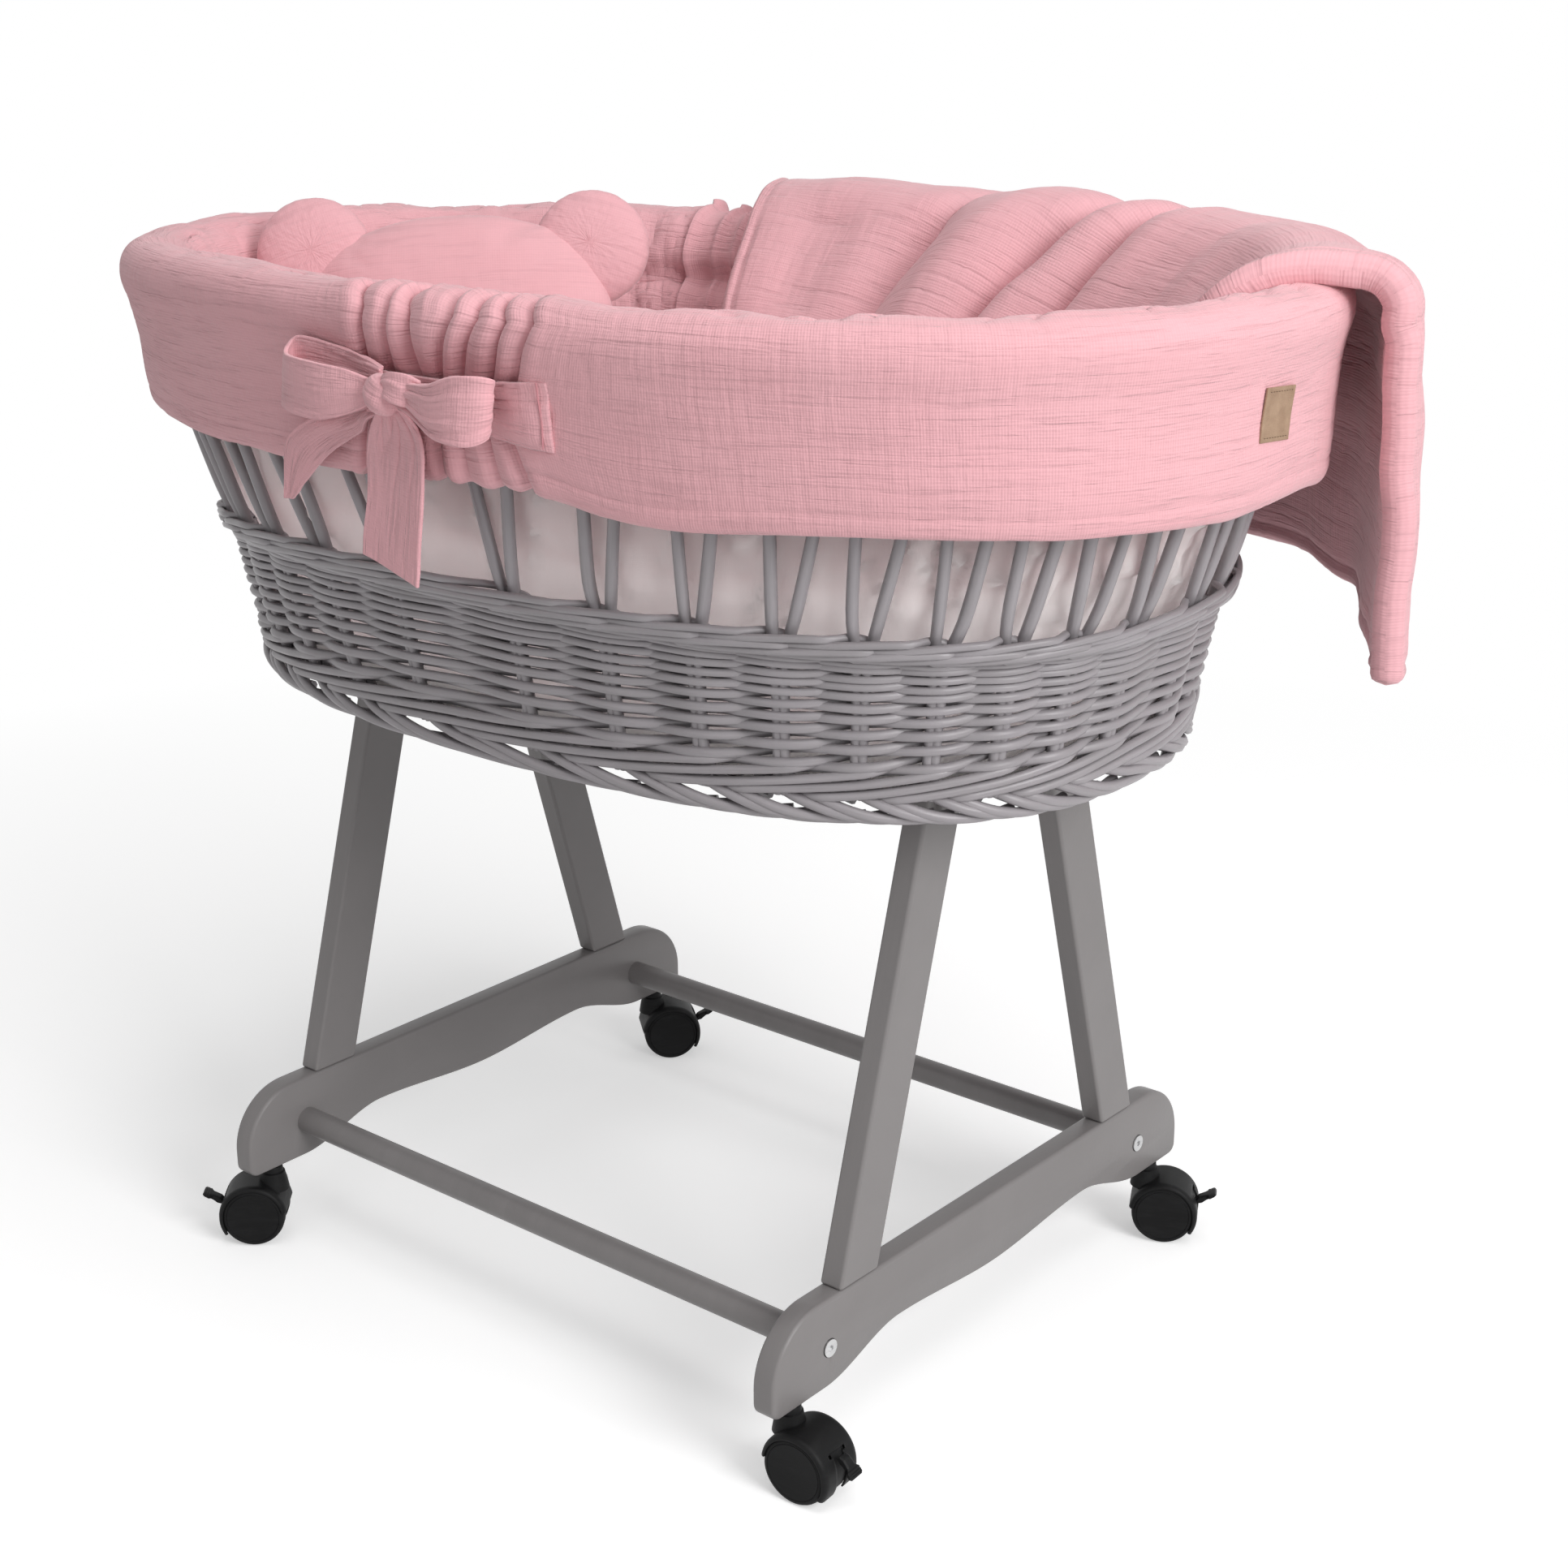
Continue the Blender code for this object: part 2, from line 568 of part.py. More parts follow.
def add_hood(name, swivel):
    """Hood of a twin-wheel caster: web between the wheels, arch over them, boss for the stem."""
    width = 2 * (HUB_DISTANCE + WHEEL_WIDTH)
    upright = Matrix(((1, 0, 0, CASTER_TRAIL), (0, 0, -1, 0), (0, 1, 0, WHEEL_RADIUS),
                      (0, 0, 0, 1)))
    sector = hood_outline(AXLE_RADIUS * HUB_RATIO, HOOD_RADIUS)
    hood = add_flat_outline(name, sector, width, upright, BLACK_PLASTIC, swivel)
    boss_bottom = WHEEL_RADIUS + HOOD_RADIUS * 0.25
    boss = add_cylinder(name + "_boss", BOSS_RADIUS, (0, 0, boss_bottom), (0, 0, BOSS_TOP),
                        None, 16, swivel)
    add_boolean(hood, boss, "UNION")
    clear = HUB_DISTANCE + WHEEL_WIDTH + 0.005
    wheel_space = WHEEL_RADIUS + HOOD_CLEARANCE
    for side in (-1, 1):
        inner_face = side * WEB_THICKNESS / 2
        pocket = add_cylinder(
            name + "_wheel_space", wheel_space, (CASTER_TRAIL, inner_face, WHEEL_RADIUS),
            (CASTER_TRAIL, side * clear, WHEEL_RADIUS), None, 28, swivel)
        add_boolean(hood, pocket, "DIFFERENCE")
    hub_half = WEB_THICKNESS / 2 + HUB_PROUD
    hub = add_cylinder(name + "_hub", AXLE_RADIUS * HUB_RATIO + HUB_WALL,
                       (CASTER_TRAIL, -hub_half, WHEEL_RADIUS),
                       (CASTER_TRAIL, hub_half, WHEEL_RADIUS), None, 16, swivel)
    add_boolean(hood, hub, "UNION")
    stem_hole = add_cylinder(name + "_stem_hole", STEM_RADIUS + STEM_CLEARANCE,
                             (0, 0, boss_bottom + 0.004), (0, 0, BOSS_TOP + 0.005),
                             None, 12, swivel)
    axle_hole = add_cylinder(name + "_axle_hole", AXLE_RADIUS + AXLE_CLEARANCE,
                             (CASTER_TRAIL, -WEB_THICKNESS, WHEEL_RADIUS),
                             (CASTER_TRAIL, WEB_THICKNESS, WHEEL_RADIUS), None, 12, swivel)
    add_boolean(hood, stem_hole, "DIFFERENCE")
    add_boolean(hood, axle_hole, "DIFFERENCE")


def add_wheel(name, spin, side):
    """Moulded wheel: closed outer disc, blind bore for the axle on the inner face."""
    bore = AXLE_RADIUS + AXLE_CLEARANCE
    skin = 0.004
    profile = [
        (0.0, WHEEL_WIDTH),
        (WHEEL_RADIUS - WHEEL_EDGE, WHEEL_WIDTH),
        (WHEEL_RADIUS, WHEEL_WIDTH - WHEEL_EDGE),
        (WHEEL_RADIUS, WHEEL_EDGE),
        (WHEEL_RADIUS - WHEEL_EDGE, 0.0),
        (bore, 0.0),
        (bore, WHEEL_WIDTH - skin),
        (0.0, WHEEL_WIDTH - skin),
    ]
    quarter = math.radians(90)
    add_turned(name, profile, WHEEL_STEPS, BLACK_PLASTIC, spin,
               (0, side * HUB_DISTANCE, 0), (-side * quarter, 0, 0))


def add_lever(name, swivel, pressed):
    """Brake lever: a hinge barrel along the axle's direction and a flat tread plate."""
    reach = HOOD_RADIUS + LEVER_BARREL + GAP
    at = (CASTER_TRAIL + reach * math.cos(LEVER_PLACE), 0,
          WHEEL_RADIUS + reach * math.sin(LEVER_PLACE))
    hinge = add_pivot(name + "_pivot", at, swivel)
    lever = add_cylinder(name, LEVER_BARREL, (0, -LEVER_WIDTH / 2, 0), (0, LEVER_WIDTH / 2, 0),
                         BLACK_PLASTIC, 12, hinge)
    plate = add_box(name + "_plate", (LEVER_LENGTH, LEVER_WIDTH - 0.001, LEVER_THICKNESS),
                    (LEVER_LENGTH / 2, 0, 0), None, hinge)
    add_bevel(plate, LEVER_THICKNESS * 0.3)
    add_boolean(lever, plate, "UNION")
    hinge.rotation_euler = (0, -(LEVER_DOWN if pressed else LEVER_UP), 0)


def add_caster(corner, side_x, side_y, heading, pressed):
    swivel = add_pivot("swivel_" + corner, (side_x * RAIL_X, side_y * CASTER_Y, 0), None, heading)
    spin = add_pivot("spin_" + corner, (CASTER_TRAIL, 0, WHEEL_RADIUS), swivel)
    foot = WHEEL_RADIUS + HOOD_RADIUS * 0.25 + 0.004 + GAP
    add_cylinder("caster_stem_" + corner, STEM_RADIUS, (0, 0, foot), (0, 0, SOLE + STEM_DEPTH),
                 STEEL, 12, swivel)
    add_hood("caster_hood_" + corner, swivel)
    reach = HUB_DISTANCE + WHEEL_WIDTH - 0.004 - GAP
    add_cylinder("caster_axle_" + corner, AXLE_RADIUS, (0, -reach, 0), (0, reach, 0), STEEL, 12,
                 spin)
    add_wheel("caster_wheel_a_" + corner, spin, 1)
    add_wheel("caster_wheel_b_" + corner, spin, -1)
    add_lever("brake_lever_" + corner, swivel, pressed)


# ---------------------------------------------------------------- basket
def add_stakes():
    """The border inside the cover's roll, with the pairs of upright stakes that carry it."""
    top = RIM_Z - GAP * 10
    bottom = top - TOP_BORDER_HEIGHT
    outer = [(wicker_oval(bottom), bottom), (wicker_oval(top), top)]
    inner = [(wicker_oval(bottom, -WALL_THICKNESS), bottom),
             (wicker_oval(top, -WALL_THICKNESS), top)]
    border = add_oval_band("stakes_and_border", outer, inner, PAINTED_WICKER)
    foot_z = WAIST_Z + WAIST_BAND_HEIGHT + GAP + STAKE_RADIUS / 2   # the rods lean outwards
    head_z = (bottom + top) / 2
    shape = bmesh.new()
    for i in range(STAKE_PAIRS):
        angle = 2 * math.pi * (i + 0.5) / STAKE_PAIRS
        for side in (-1, 1):
            ends = []
            for z, spacing in ((foot_z, STAKE_FOOT_SPACING), (head_z, STAKE_HEAD_SPACING)):
                oval = wicker_oval(z, -WALL_THICKNESS / 2)
                here = Vector((*oval_point(oval, angle), z))
                there = Vector((*oval_point(oval, angle + STAKE_PROBE), z))
                along = (there - here).length / STAKE_PROBE
                turned = angle + side * spacing / 2 / along
                ends.append(Vector((*oval_point(oval, turned), z)))
            rod = ends[1] - ends[0]
            turn = rod.to_track_quat("Z", "Y").to_matrix().to_4x4()
            bmesh.ops.create_cone(
                shape, cap_ends=True, segments=STAKE_SIDES, radius1=STAKE_RADIUS, radius2=STAKE_RADIUS,
                depth=rod.length, matrix=Matrix.Translation((ends[0] + ends[1]) / 2) @ turn)
    add_boolean(border, finish_bmesh("stake_rods", shape, None), "UNION")


def add_basket():
    border_top = SEAT_HEIGHT + FOOT_BORDER_HEIGHT
    add_oval_band(
        "foot_border",
        [(FOOT_OVAL, SEAT_HEIGHT), (wicker_oval(border_top), border_top)],
        [(grown(FOOT_OVAL, -FOOT_BORDER_WIDTH), SEAT_HEIGHT),
         (wicker_oval(border_top, -FOOT_BORDER_WIDTH), border_top)],
        PAINTED_WICKER)
    low, high = border_top + GAP, WAIST_Z - GAP
    add_oval_band(
        "wicker_wall",
        [(wicker_oval(low), low), (wicker_oval(high), high)],
        [(wicker_oval(low, -WALL_THICKNESS), low), (wicker_oval(high, -WALL_THICKNESS), high)],
        PAINTED_WICKER)
    low, high = WAIST_Z, WAIST_Z + WAIST_BAND_HEIGHT
    add_oval_band(
        "waist_band",
        [(wicker_oval(low, WAIST_BAND_PROUD), low), (wicker_oval(high, WAIST_BAND_PROUD), high)],
        [(wicker_oval(low, -WALL_THICKNESS), low), (wicker_oval(high, -WALL_THICKNESS), high)],
        PAINTED_WICKER)
    add_oval_plate("base_board", grown(FOOT_OVAL, -FOOT_BORDER_WIDTH - GAP * 3),
                   SEAT_HEIGHT, SEAT_HEIGHT + BASE_THICKNESS, PAINTED_WICKER)
    add_stakes()


# ---------------------------------------------------------------- covers and bedding
def add_lining():
    floor_low = SEAT_HEIGHT + BASE_THICKNESS + GAP
    floor_high = floor_low + LINING_THICKNESS
    top = SEAT_HEIGHT + LINING_TOP_RISE
    inside = LINING_INSET + LINING_THICKNESS
    add_oval_band(
        "lining",
        [(wicker_oval(z, -LINING_INSET), z) for z in (floor_low, WAIST_Z, top)],
        [(wicker_oval(z, -inside), z) for z in (floor_high, WAIST_Z, top)],
        WHITE_COTTON, floor=True)


def add_mattress():
    low = SEAT_HEIGHT + BASE_THICKNESS + LINING_THICKNESS + 2 * GAP
    oval = wicker_oval(low, -LINING_INSET - LINING_THICKNESS - MATTRESS_CLEARANCE)
    mattress = add_oval_plate("mattress", oval, low, low + MATTRESS_THICKNESS, WHITE_COTTON)
    add_bevel(mattress, MATTRESS_THICKNESS * 0.2)


def cover_section(recess):
    """Outer and inner rows of the upturned U that hangs over the rim."""
    hem_z = SEAT_HEIGHT + COVER_HEM_RISE
    skirt_z = SEAT_HEIGHT + INNER_SKIRT_HEM_RISE
    shoulder_z = CREST_Z - COVER_SHOULDER
    roll = grown(COVER_ROLL_OVAL, -recess)
    roof_z = RIM_Z + ROLL_HOLLOW_RISE
    wall_z = RIM_Z - ROLL_HOLLOW_DROP
    skirt_face = SKIRT_INSET + INNER_SKIRT_THICKNESS
    roof_inner = wicker_oval(wall_z, -SKIRT_INSET)
    outer = [
        (grown(COVER_HEM_OVAL, -recess), hem_z),
        (roll, RIM_Z),
        (between(roll, RIM_OVAL, SHOULDER_SHARE), shoulder_z),
        (grown(RIM_OVAL, -CREST_INSET), CREST_Z),
        (wicker_oval(RIM_Z, INNER_SHOULDER - skirt_face), shoulder_z),
        (wicker_oval(RIM_Z, -skirt_face), RIM_Z),
        (wicker_oval(skirt_z, -skirt_face), skirt_z),
    ]
    inner = [
        (grown(COVER_HEM_OVAL, -recess - COVER_THICKNESS), hem_z),
        (grown(roll, -COVER_THICKNESS), wall_z),
        (grown(roll, -COVER_THICKNESS - ROLL_ROUNDING), roof_z),
        (between(roll, roof_inner, 0.5), roof_z + ROLL_ROUNDING),
        (grown(roof_inner, ROLL_ROUNDING), roof_z),
        (roof_inner, wall_z),
        (wicker_oval(skirt_z, -SKIRT_INSET), skirt_z),
    ]
    return outer, inner


def add_cover():
    """Two long padded sections, joined on each long side by a gathered panel."""
    full = 2 * math.pi
    front = [oval_angle(COVER_ROLL_OVAL, x, -1) % full for x in FRONT_GATHER]
    back = [oval_angle(COVER_ROLL_OVAL, x, 1) for x in reversed(BACK_GATHER)]
    joint = GATHER_JOINT / COVER_ROLL_OVAL[1]
    outer, inner = cover_section(0.0)
    add_oval_band("cover_head_end", outer, inner, PINK_MUSLIN,
                  (back[1] + joint, front[0] - joint))
    add_oval_band("cover_foot_end", outer, inner, PINK_MUSLIN,
                  (front[1] + joint, back[0] + full - joint))
    outer, inner = cover_section(GATHER_RECESS)
    add_oval_band("front_gather", outer, inner, PINK_MUSLIN, front)
    add_oval_band("back_gather", outer, inner, PINK_MUSLIN, back)


def add_pillow():
    """Head-shaped pillow with two round ears, propped up at the head end."""
    floor = (SEAT_HEIGHT + BASE_THICKNESS + LINING_THICKNESS + 2 * GAP + MATTRESS_THICKNESS
             + PILLOW_BASE_CLEARANCE)
    lift = PILLOW_HALF_HEIGHT * math.cos(PILLOW_LEAN) + PILLOW_HALF_DEPTH * math.sin(PILLOW_LEAN)
    placed = (Matrix.Translation((*PILLOW_CENTRE, floor + lift))
              @ Matrix.Rotation(PILLOW_TURN, 4, "Z") @ Matrix.Rotation(-PILLOW_LEAN, 4, "X"))
    pillow = add_ellipsoid(
        "bear_pillow", (PILLOW_HALF_WIDTH, PILLOW_HALF_DEPTH, PILLOW_HALF_HEIGHT), placed,
        PINK_MUSLIN, 10, 16)
    for side in (-1, 1):
        spot = placed @ Matrix.Translation((side * EAR_SPREAD, 0, EAR_LIFT))
        ear = add_ellipsoid("ear", (EAR_RADIUS, EAR_DEPTH, EAR_RADIUS), spot, None, 8, 12)
        add_boolean(pillow, ear, "UNION")


def add_quilt():
    """Folded quilt laid over the rim at the foot end: part hangs outside, part lies inside."""
    hang_z = RIM_Z - QUILT_DROP
    inside_z = RIM_Z - QUILT_REACH
    near = grown(COVER_ROLL_OVAL, QUILT_STANDOFF)
    far = grown(near, QUILT_THICKNESS)
    skirt = SKIRT_INSET + INNER_SKIRT_THICKNESS + QUILT_SKIRT_CLEARANCE
    under_z = CREST_Z + QUILT_UNDER_CLEARANCE
    over_z = CREST_Z + QUILT_OVER_THICKNESS
    corner_low, corner_high = RIM_Z - QUILT_CORNER[0], RIM_Z + QUILT_CORNER[1]
    bend_z = RIM_Z - QUILT_INSIDE_BEND
    thick_high, thick_low = QUILT_INSIDE_THICKNESS
    outer = [
        (far, hang_z),
        (far, corner_low),
        (grown(far, -QUILT_CORNER_ROUNDING), corner_high),
        (grown(RIM_OVAL, QUILT_TOP_OUTSIDE), over_z),
        (grown(RIM_OVAL, -QUILT_TOP_INSIDE), over_z - QUILT_TOP_FALL),
        (wicker_oval(corner_low, -skirt - thick_high), bend_z),
        (wicker_oval(inside_z, -skirt - thick_low), inside_z),
    ]
    inner = [
        (near, hang_z),
        (grown(near, -QUILT_TOP_FALL), corner_low),
        (grown(near, -QUILT_NEAR_ROUNDING), corner_high - QUILT_STANDOFF / 2),
        (grown(RIM_OVAL, QUILT_UNDER_EDGES[0]), under_z),
        (grown(RIM_OVAL, -QUILT_UNDER_EDGES[1]), under_z - QUILT_TOP_FALL / 2),
        (wicker_oval(RIM_Z, -skirt), RIM_Z - QUILT_SKIRT_CLEARANCE),
        (wicker_oval(inside_z, -skirt), inside_z),
    ]
    add_oval_band("quilt", outer, inner, PINK_MUSLIN, QUILT_ARC)


# ---------------------------------------------------------------- bow and label
def facing_front(y):
    """Places an outline drawn in (X, Z) at a depth, its thickness along Y."""
    return Matrix(((1, 0, 0, 0), (0, 0, -1, y), (0, 1, 0, 0), (0, 0, 0, 1)))


def add_bow_loop(name, centre, y):
    width, height = BOW_LOOP_SIZE
    points = []
    for i in range(BOW_LOOP_SIDES):
        a = 2 * math.pi * i / BOW_LOOP_SIDES
        points.append((centre[0] + width * math.cos(a), centre[1] + height * math.sin(a)))
    add_flat_outline(name, points, BOW_LOOP_DEPTH, facing_front(y), PINK_MUSLIN)


def add_bow_tail(name, start, end, start_width, end_width, y):
    """A flat ribbon tail that widens to a slanted end."""
    start, end = Vector(start), Vector(end)
    along = (end - start).normalized()
    across = Vector((-along.y, along.x))
    slant = along * end_width * TAIL_SLANT
    points = [
        start + across * start_width / 2,
        start - across * start_width / 2,
        end - across * end_width / 2 + slant,
        end + across * end_width / 2 - slant,
    ]
    add_flat_outline(name, points, BOW_TAIL_THICKNESS, facing_front(y), PINK_MUSLIN)


def add_bow():
    low, high = BOW_Z - BOW_BAND_HEIGHT / 2, BOW_Z + BOW_BAND_HEIGHT / 2
    outside = BOW_CLEARANCE + BOW_BAND_THICKNESS
    arc = tuple(oval_angle(COVER_ROLL_OVAL, x, -1) for x in BOW_BAND_ENDS)
    add_oval_band(
        "bow_band",
        [(cover_oval(z, outside), z) for z in (low, high)],
        [(cover_oval(z, BOW_CLEARANCE), z) for z in (low, high)],
        PINK_MUSLIN, arc)
    face = -(COVER_ROLL_OVAL[1] + outside)
    tail_y = face - BOW_CLEARANCE - BOW_TAIL_THICKNESS / 2
    loop_y = tail_y - BOW_TAIL_THICKNESS / 2 - BOW_CLEARANCE - BOW_LOOP_DEPTH / 2
    loop_shift = KNOT_RADII[0] + BOW_CLEARANCE + BOW_LOOP_SIZE[0]
    add_bow_loop("bow_loop_left", (BOW_X - loop_shift, BOW_Z + BOW_LOOP_TILT), loop_y)
    add_bow_loop("bow_loop_right", (BOW_X + loop_shift, BOW_Z - BOW_LOOP_TILT), loop_y)
    add_ellipsoid("bow_knot", KNOT_RADII, Matrix.Translation((BOW_X, loop_y, BOW_Z)), PINK_MUSLIN)
    for name, (start, end, start_width, end_width) in (
            ("bow_tail_left", LEFT_TAIL), ("bow_tail_right", RIGHT_TAIL)):
        add_bow_tail(name, (BOW_X + start[0], BOW_Z + start[1]), (BOW_X + end[0], BOW_Z + end[1]),
                     start_width, end_width, tail_y)


def add_label():
    """Blank stitched tag near the foot end of the cover."""
    z = RIM_Z - LABEL_DROP
    face = cover_oval(z + LABEL_HEIGHT / 2)[0] + BOW_CLEARANCE
    add_box("side_label", (LABEL_THICKNESS, LABEL_WIDTH, LABEL_HEIGHT),
            (face + LABEL_THICKNESS / 2, LABEL_Y, z), TAN_LEATHER)


add_stand()
for caster in CASTERS:
    add_caster(*caster)
add_basket()
add_lining()
add_mattress()
add_cover()
add_pillow()
add_quilt()
add_bow()
add_label()
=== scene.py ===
import json
import math

import bmesh
import bpy
import numpy as np
from mathutils import Matrix, Vector


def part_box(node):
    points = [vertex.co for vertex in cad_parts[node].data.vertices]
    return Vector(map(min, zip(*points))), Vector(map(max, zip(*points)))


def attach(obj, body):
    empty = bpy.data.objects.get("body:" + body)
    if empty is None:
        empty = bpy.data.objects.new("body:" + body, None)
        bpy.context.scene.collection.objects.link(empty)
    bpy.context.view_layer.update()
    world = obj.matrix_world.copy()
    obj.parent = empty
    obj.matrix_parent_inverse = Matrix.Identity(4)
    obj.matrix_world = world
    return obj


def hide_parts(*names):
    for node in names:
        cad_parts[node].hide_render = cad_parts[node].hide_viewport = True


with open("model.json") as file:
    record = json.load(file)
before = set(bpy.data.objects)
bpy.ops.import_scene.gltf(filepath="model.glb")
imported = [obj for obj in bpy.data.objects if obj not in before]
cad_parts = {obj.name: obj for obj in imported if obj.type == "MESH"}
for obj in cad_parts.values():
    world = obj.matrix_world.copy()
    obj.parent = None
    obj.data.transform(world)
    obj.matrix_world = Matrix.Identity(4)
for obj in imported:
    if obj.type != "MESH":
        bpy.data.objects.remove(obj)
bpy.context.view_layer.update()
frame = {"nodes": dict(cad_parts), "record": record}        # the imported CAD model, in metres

# ------------------------------------------------------------------ sizes, as in the CAD, in metres
POWER = 2.5                       # of the rounded oval
FOOT_OVAL, FOOT_Z = (0.363, 0.223), 0.449
WAIST_OVAL, WAIST_Z = (0.3845, 0.2438), 0.559
RIM_OVAL, RIM_Z = (0.440, 0.268), 0.735
COLUMNS = 36                      # pairs of upright stakes
WAIST_SAG_HEAD, WAIST_SAG_FOOT = 0.015, 0.008    # how much lower the waist lies at its two ends
WAIST_SAG_REACH = 0.385                          # X where the sag is full
WAIST_SAG_RISE = (0.470, 0.565, 0.700)           # heights where the sag starts, is full, and ends
SOLE_Z, RAIL_TOP_Z = 0.0615, 0.126


# ------------------------------------------------------------------ numbers
def lattice(x, y, seed):
    """Smooth noise from -1 to 1 on arrays, one cell per unit."""
    table = np.random.default_rng(seed).random((128, 128)) * 2 - 1
    xi, yi = np.floor(x).astype(int), np.floor(y).astype(int)
    fx, fy = x - xi, y - yi
    fx, fy = fx * fx * fx * (fx * (fx * 6 - 15) + 10), fy * fy * fy * (fy * (fy * 6 - 15) + 10)
    corner = lambda i, j: table[(xi + i) % 128, (yi + j) % 128]
    low = corner(0, 0) * (1 - fx) + corner(1, 0) * fx
    high = corner(0, 1) * (1 - fx) + corner(1, 1) * fx
    return (low * (1 - fy) + high * fy) * 1.3


def step(low, high, x):
    """From 0 at low to 1 at high, smoothly."""
    t = np.clip((x - low) / (high - low), 0, 1)
    return t * t * (3 - 2 * t)


def hump(x, centre, half):
    """A smooth hump of height 1."""
    return np.exp(-(((x - centre) / half) ** 2))


def run_along(points):
    """Length run along a row of points, from 0."""
    return np.concatenate([[0], np.cumsum(np.linalg.norm(np.diff(points, axis=0), axis=1))])


def spread(u, v):
    """Two coordinates spread over the grid that they span."""
    return u[:, None] + v[None] * 0, v[None] + u[:, None] * 0


def creases(u, v, along, across, seed, width=0.30):
    """Thin sharp valleys that run along u: 0 between them and 1 in a valley."""
    sway = lattice(u / (along * 0.9), v / (across * 6), seed + 50) * 0.35
    n = lattice(u / along + 11.3, v / across + sway, seed)
    strength = 0.55 + 0.45 * lattice(u / along * 0.6, v / across * 0.35, seed + 90)
    return np.clip(1 - np.abs(n) / width, 0, 1) ** 1.5 * np.clip(strength, 0, 1)


def gauze(u, v, seed, size=1.0):
    """Height of crinkled double gauze: long creases along u, and soft puffs between them."""
    h = -0.55 * creases(u, v, 0.090, 0.0085, seed, 0.20)
    h += -0.50 * creases(u, v, 0.050, 0.0052, seed + 1, 0.22)
    h += -0.20 * creases(v, u, 0.030, 0.012, seed + 2)
    h += 0.7 * lattice(u / 0.12, v / 0.035, seed + 3)
    h += 0.20 * lattice(u / 0.022, v / 0.012, seed + 4)
    return h * 0.0009 * size


# ------------------------------------------------------------------ the rounded oval
def oval_xy(a, b, angle):
    """Point of the oval with half length a and half width b at an angle."""
    c, s = np.cos(angle), np.sin(angle)
    k = 2 / POWER
    return np.sign(c) * np.abs(c) ** k * a, np.sign(s) * np.abs(s) ** k * b


def oval_y(a, b, x):
    """How far out the oval's long side is at x."""
    return b * np.clip(1 - (np.abs(x) / a) ** POWER, 0, 1) ** (1 / POWER)


def angle_at(oval, x, side):
    """Angle of the oval's point at x, on the back (side 1) or the front (side -1)."""
    return side * math.acos(math.copysign((abs(x) / oval[0]) ** (POWER / 2), x))


def wicker_oval(z):
    """Half length and half width of the wickerwork's outer face, for one height or an array."""
    z = np.asarray(z, float)
    low = np.clip((z - FOOT_Z) / (WAIST_Z - FOOT_Z), 0, 1)
    high = np.clip((z - WAIST_Z) / (RIM_Z - WAIST_Z), 0, None)
    return tuple(f + (w - f) * low + (r - w) * high
                 for f, w, r in zip(FOOT_OVAL, WAIST_OVAL, RIM_OVAL))


def wicker_point(angle, z, grow):
    """Point of the wickerwork, moved out by grow. The waist sags towards both of its ends."""
    a, b = wicker_oval(z)
    x, y = oval_xy(a + grow, b + grow, angle)
    z = np.broadcast_to(z, np.shape(x)).astype(float)
    share = x / WAIST_SAG_REACH
    sag = WAIST_SAG_HEAD * np.clip(-share, 0, 1) ** 3 + WAIST_SAG_FOOT * np.clip(share, 0, 1) ** 3
    return np.stack([x, y, z - sag * np.interp(z, WAIST_SAG_RISE, (0, 1, 0))], -1)


def even_angles(oval, start, end, spacing):
    """Angles a spacing apart along the oval, and the length run at each."""
    fine = np.linspace(start, end, 2400)
    run = run_along(np.stack(oval_xy(*oval, fine), -1))
    count = max(4, int(round(run[-1] / spacing)))
    at = np.linspace(0, run[-1], count + 1)
    return np.interp(at, run, fine), at


def spline(points, count):
    """Points at even steps along a smooth curve through the given ones (any dimension)."""
    p = np.asarray(points, float)
    p = np.concatenate([[2 * p[0] - p[1]], p, [2 * p[-1] - p[-2]]])
    out = []
    for i in range(1, len(p) - 2):
        t = np.linspace(0, 1, 24, endpoint=False)[:, None]
        a, b, c, d = p[i - 1], p[i], p[i + 1], p[i + 2]
        out.append(0.5 * (2 * b + (c - a) * t + (2 * a - 5 * b + 4 * c - d) * t ** 2
                          + (3 * b - a - 3 * c + d) * t ** 3))
    out.append(p[-2][None])
    out = np.concatenate(out)
    run = run_along(out)
    at = np.linspace(0, run[-1], count)
    return np.stack([np.interp(at, run, out[:, k]) for k in range(out.shape[1])], -1), at


# ------------------------------------------------------------------ making pieces
UNDERSIDE_SHIFT = 0.8             # of a slab's underside in its cloth coordinates
ROD_GIRTH = 0.02                  # once round a rod, in cloth coordinates


def skin(rows, ring):
    """Faces of the skin round a stack of rings of points."""
    faces = []
    for i in range(rows - 1):
        for j in range(ring):
            k = (j + 1) % ring
            faces.append([i * ring + j, (i + 1) * ring + j, (i + 1) * ring + k, i * ring + k])
    return faces


def ride(obj, body="basket", replaces=()):
    """Declare a finished piece: its body and the CAD nodes it stands for."""
    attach(obj, body)
    if replaces:
        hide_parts(*replaces)
    return obj


def piece_from(name, verts, faces, material, uvs=None, smooth=True):
    mesh = bpy.data.meshes.new(name)
    mesh.from_pydata([tuple(map(float, v)) for v in verts], [], faces)
    mesh.materials.append(material)
    if uvs is not None:
        layer = mesh.uv_layers.new(name="cloth")
        layer.data.foreach_set("uv", np.asarray(uvs, np.float32).ravel())
    if smooth:
        mesh.shade_smooth()
    obj = bpy.data.objects.new(name, mesh)
    bpy.context.scene.collection.objects.link(obj)
    return obj


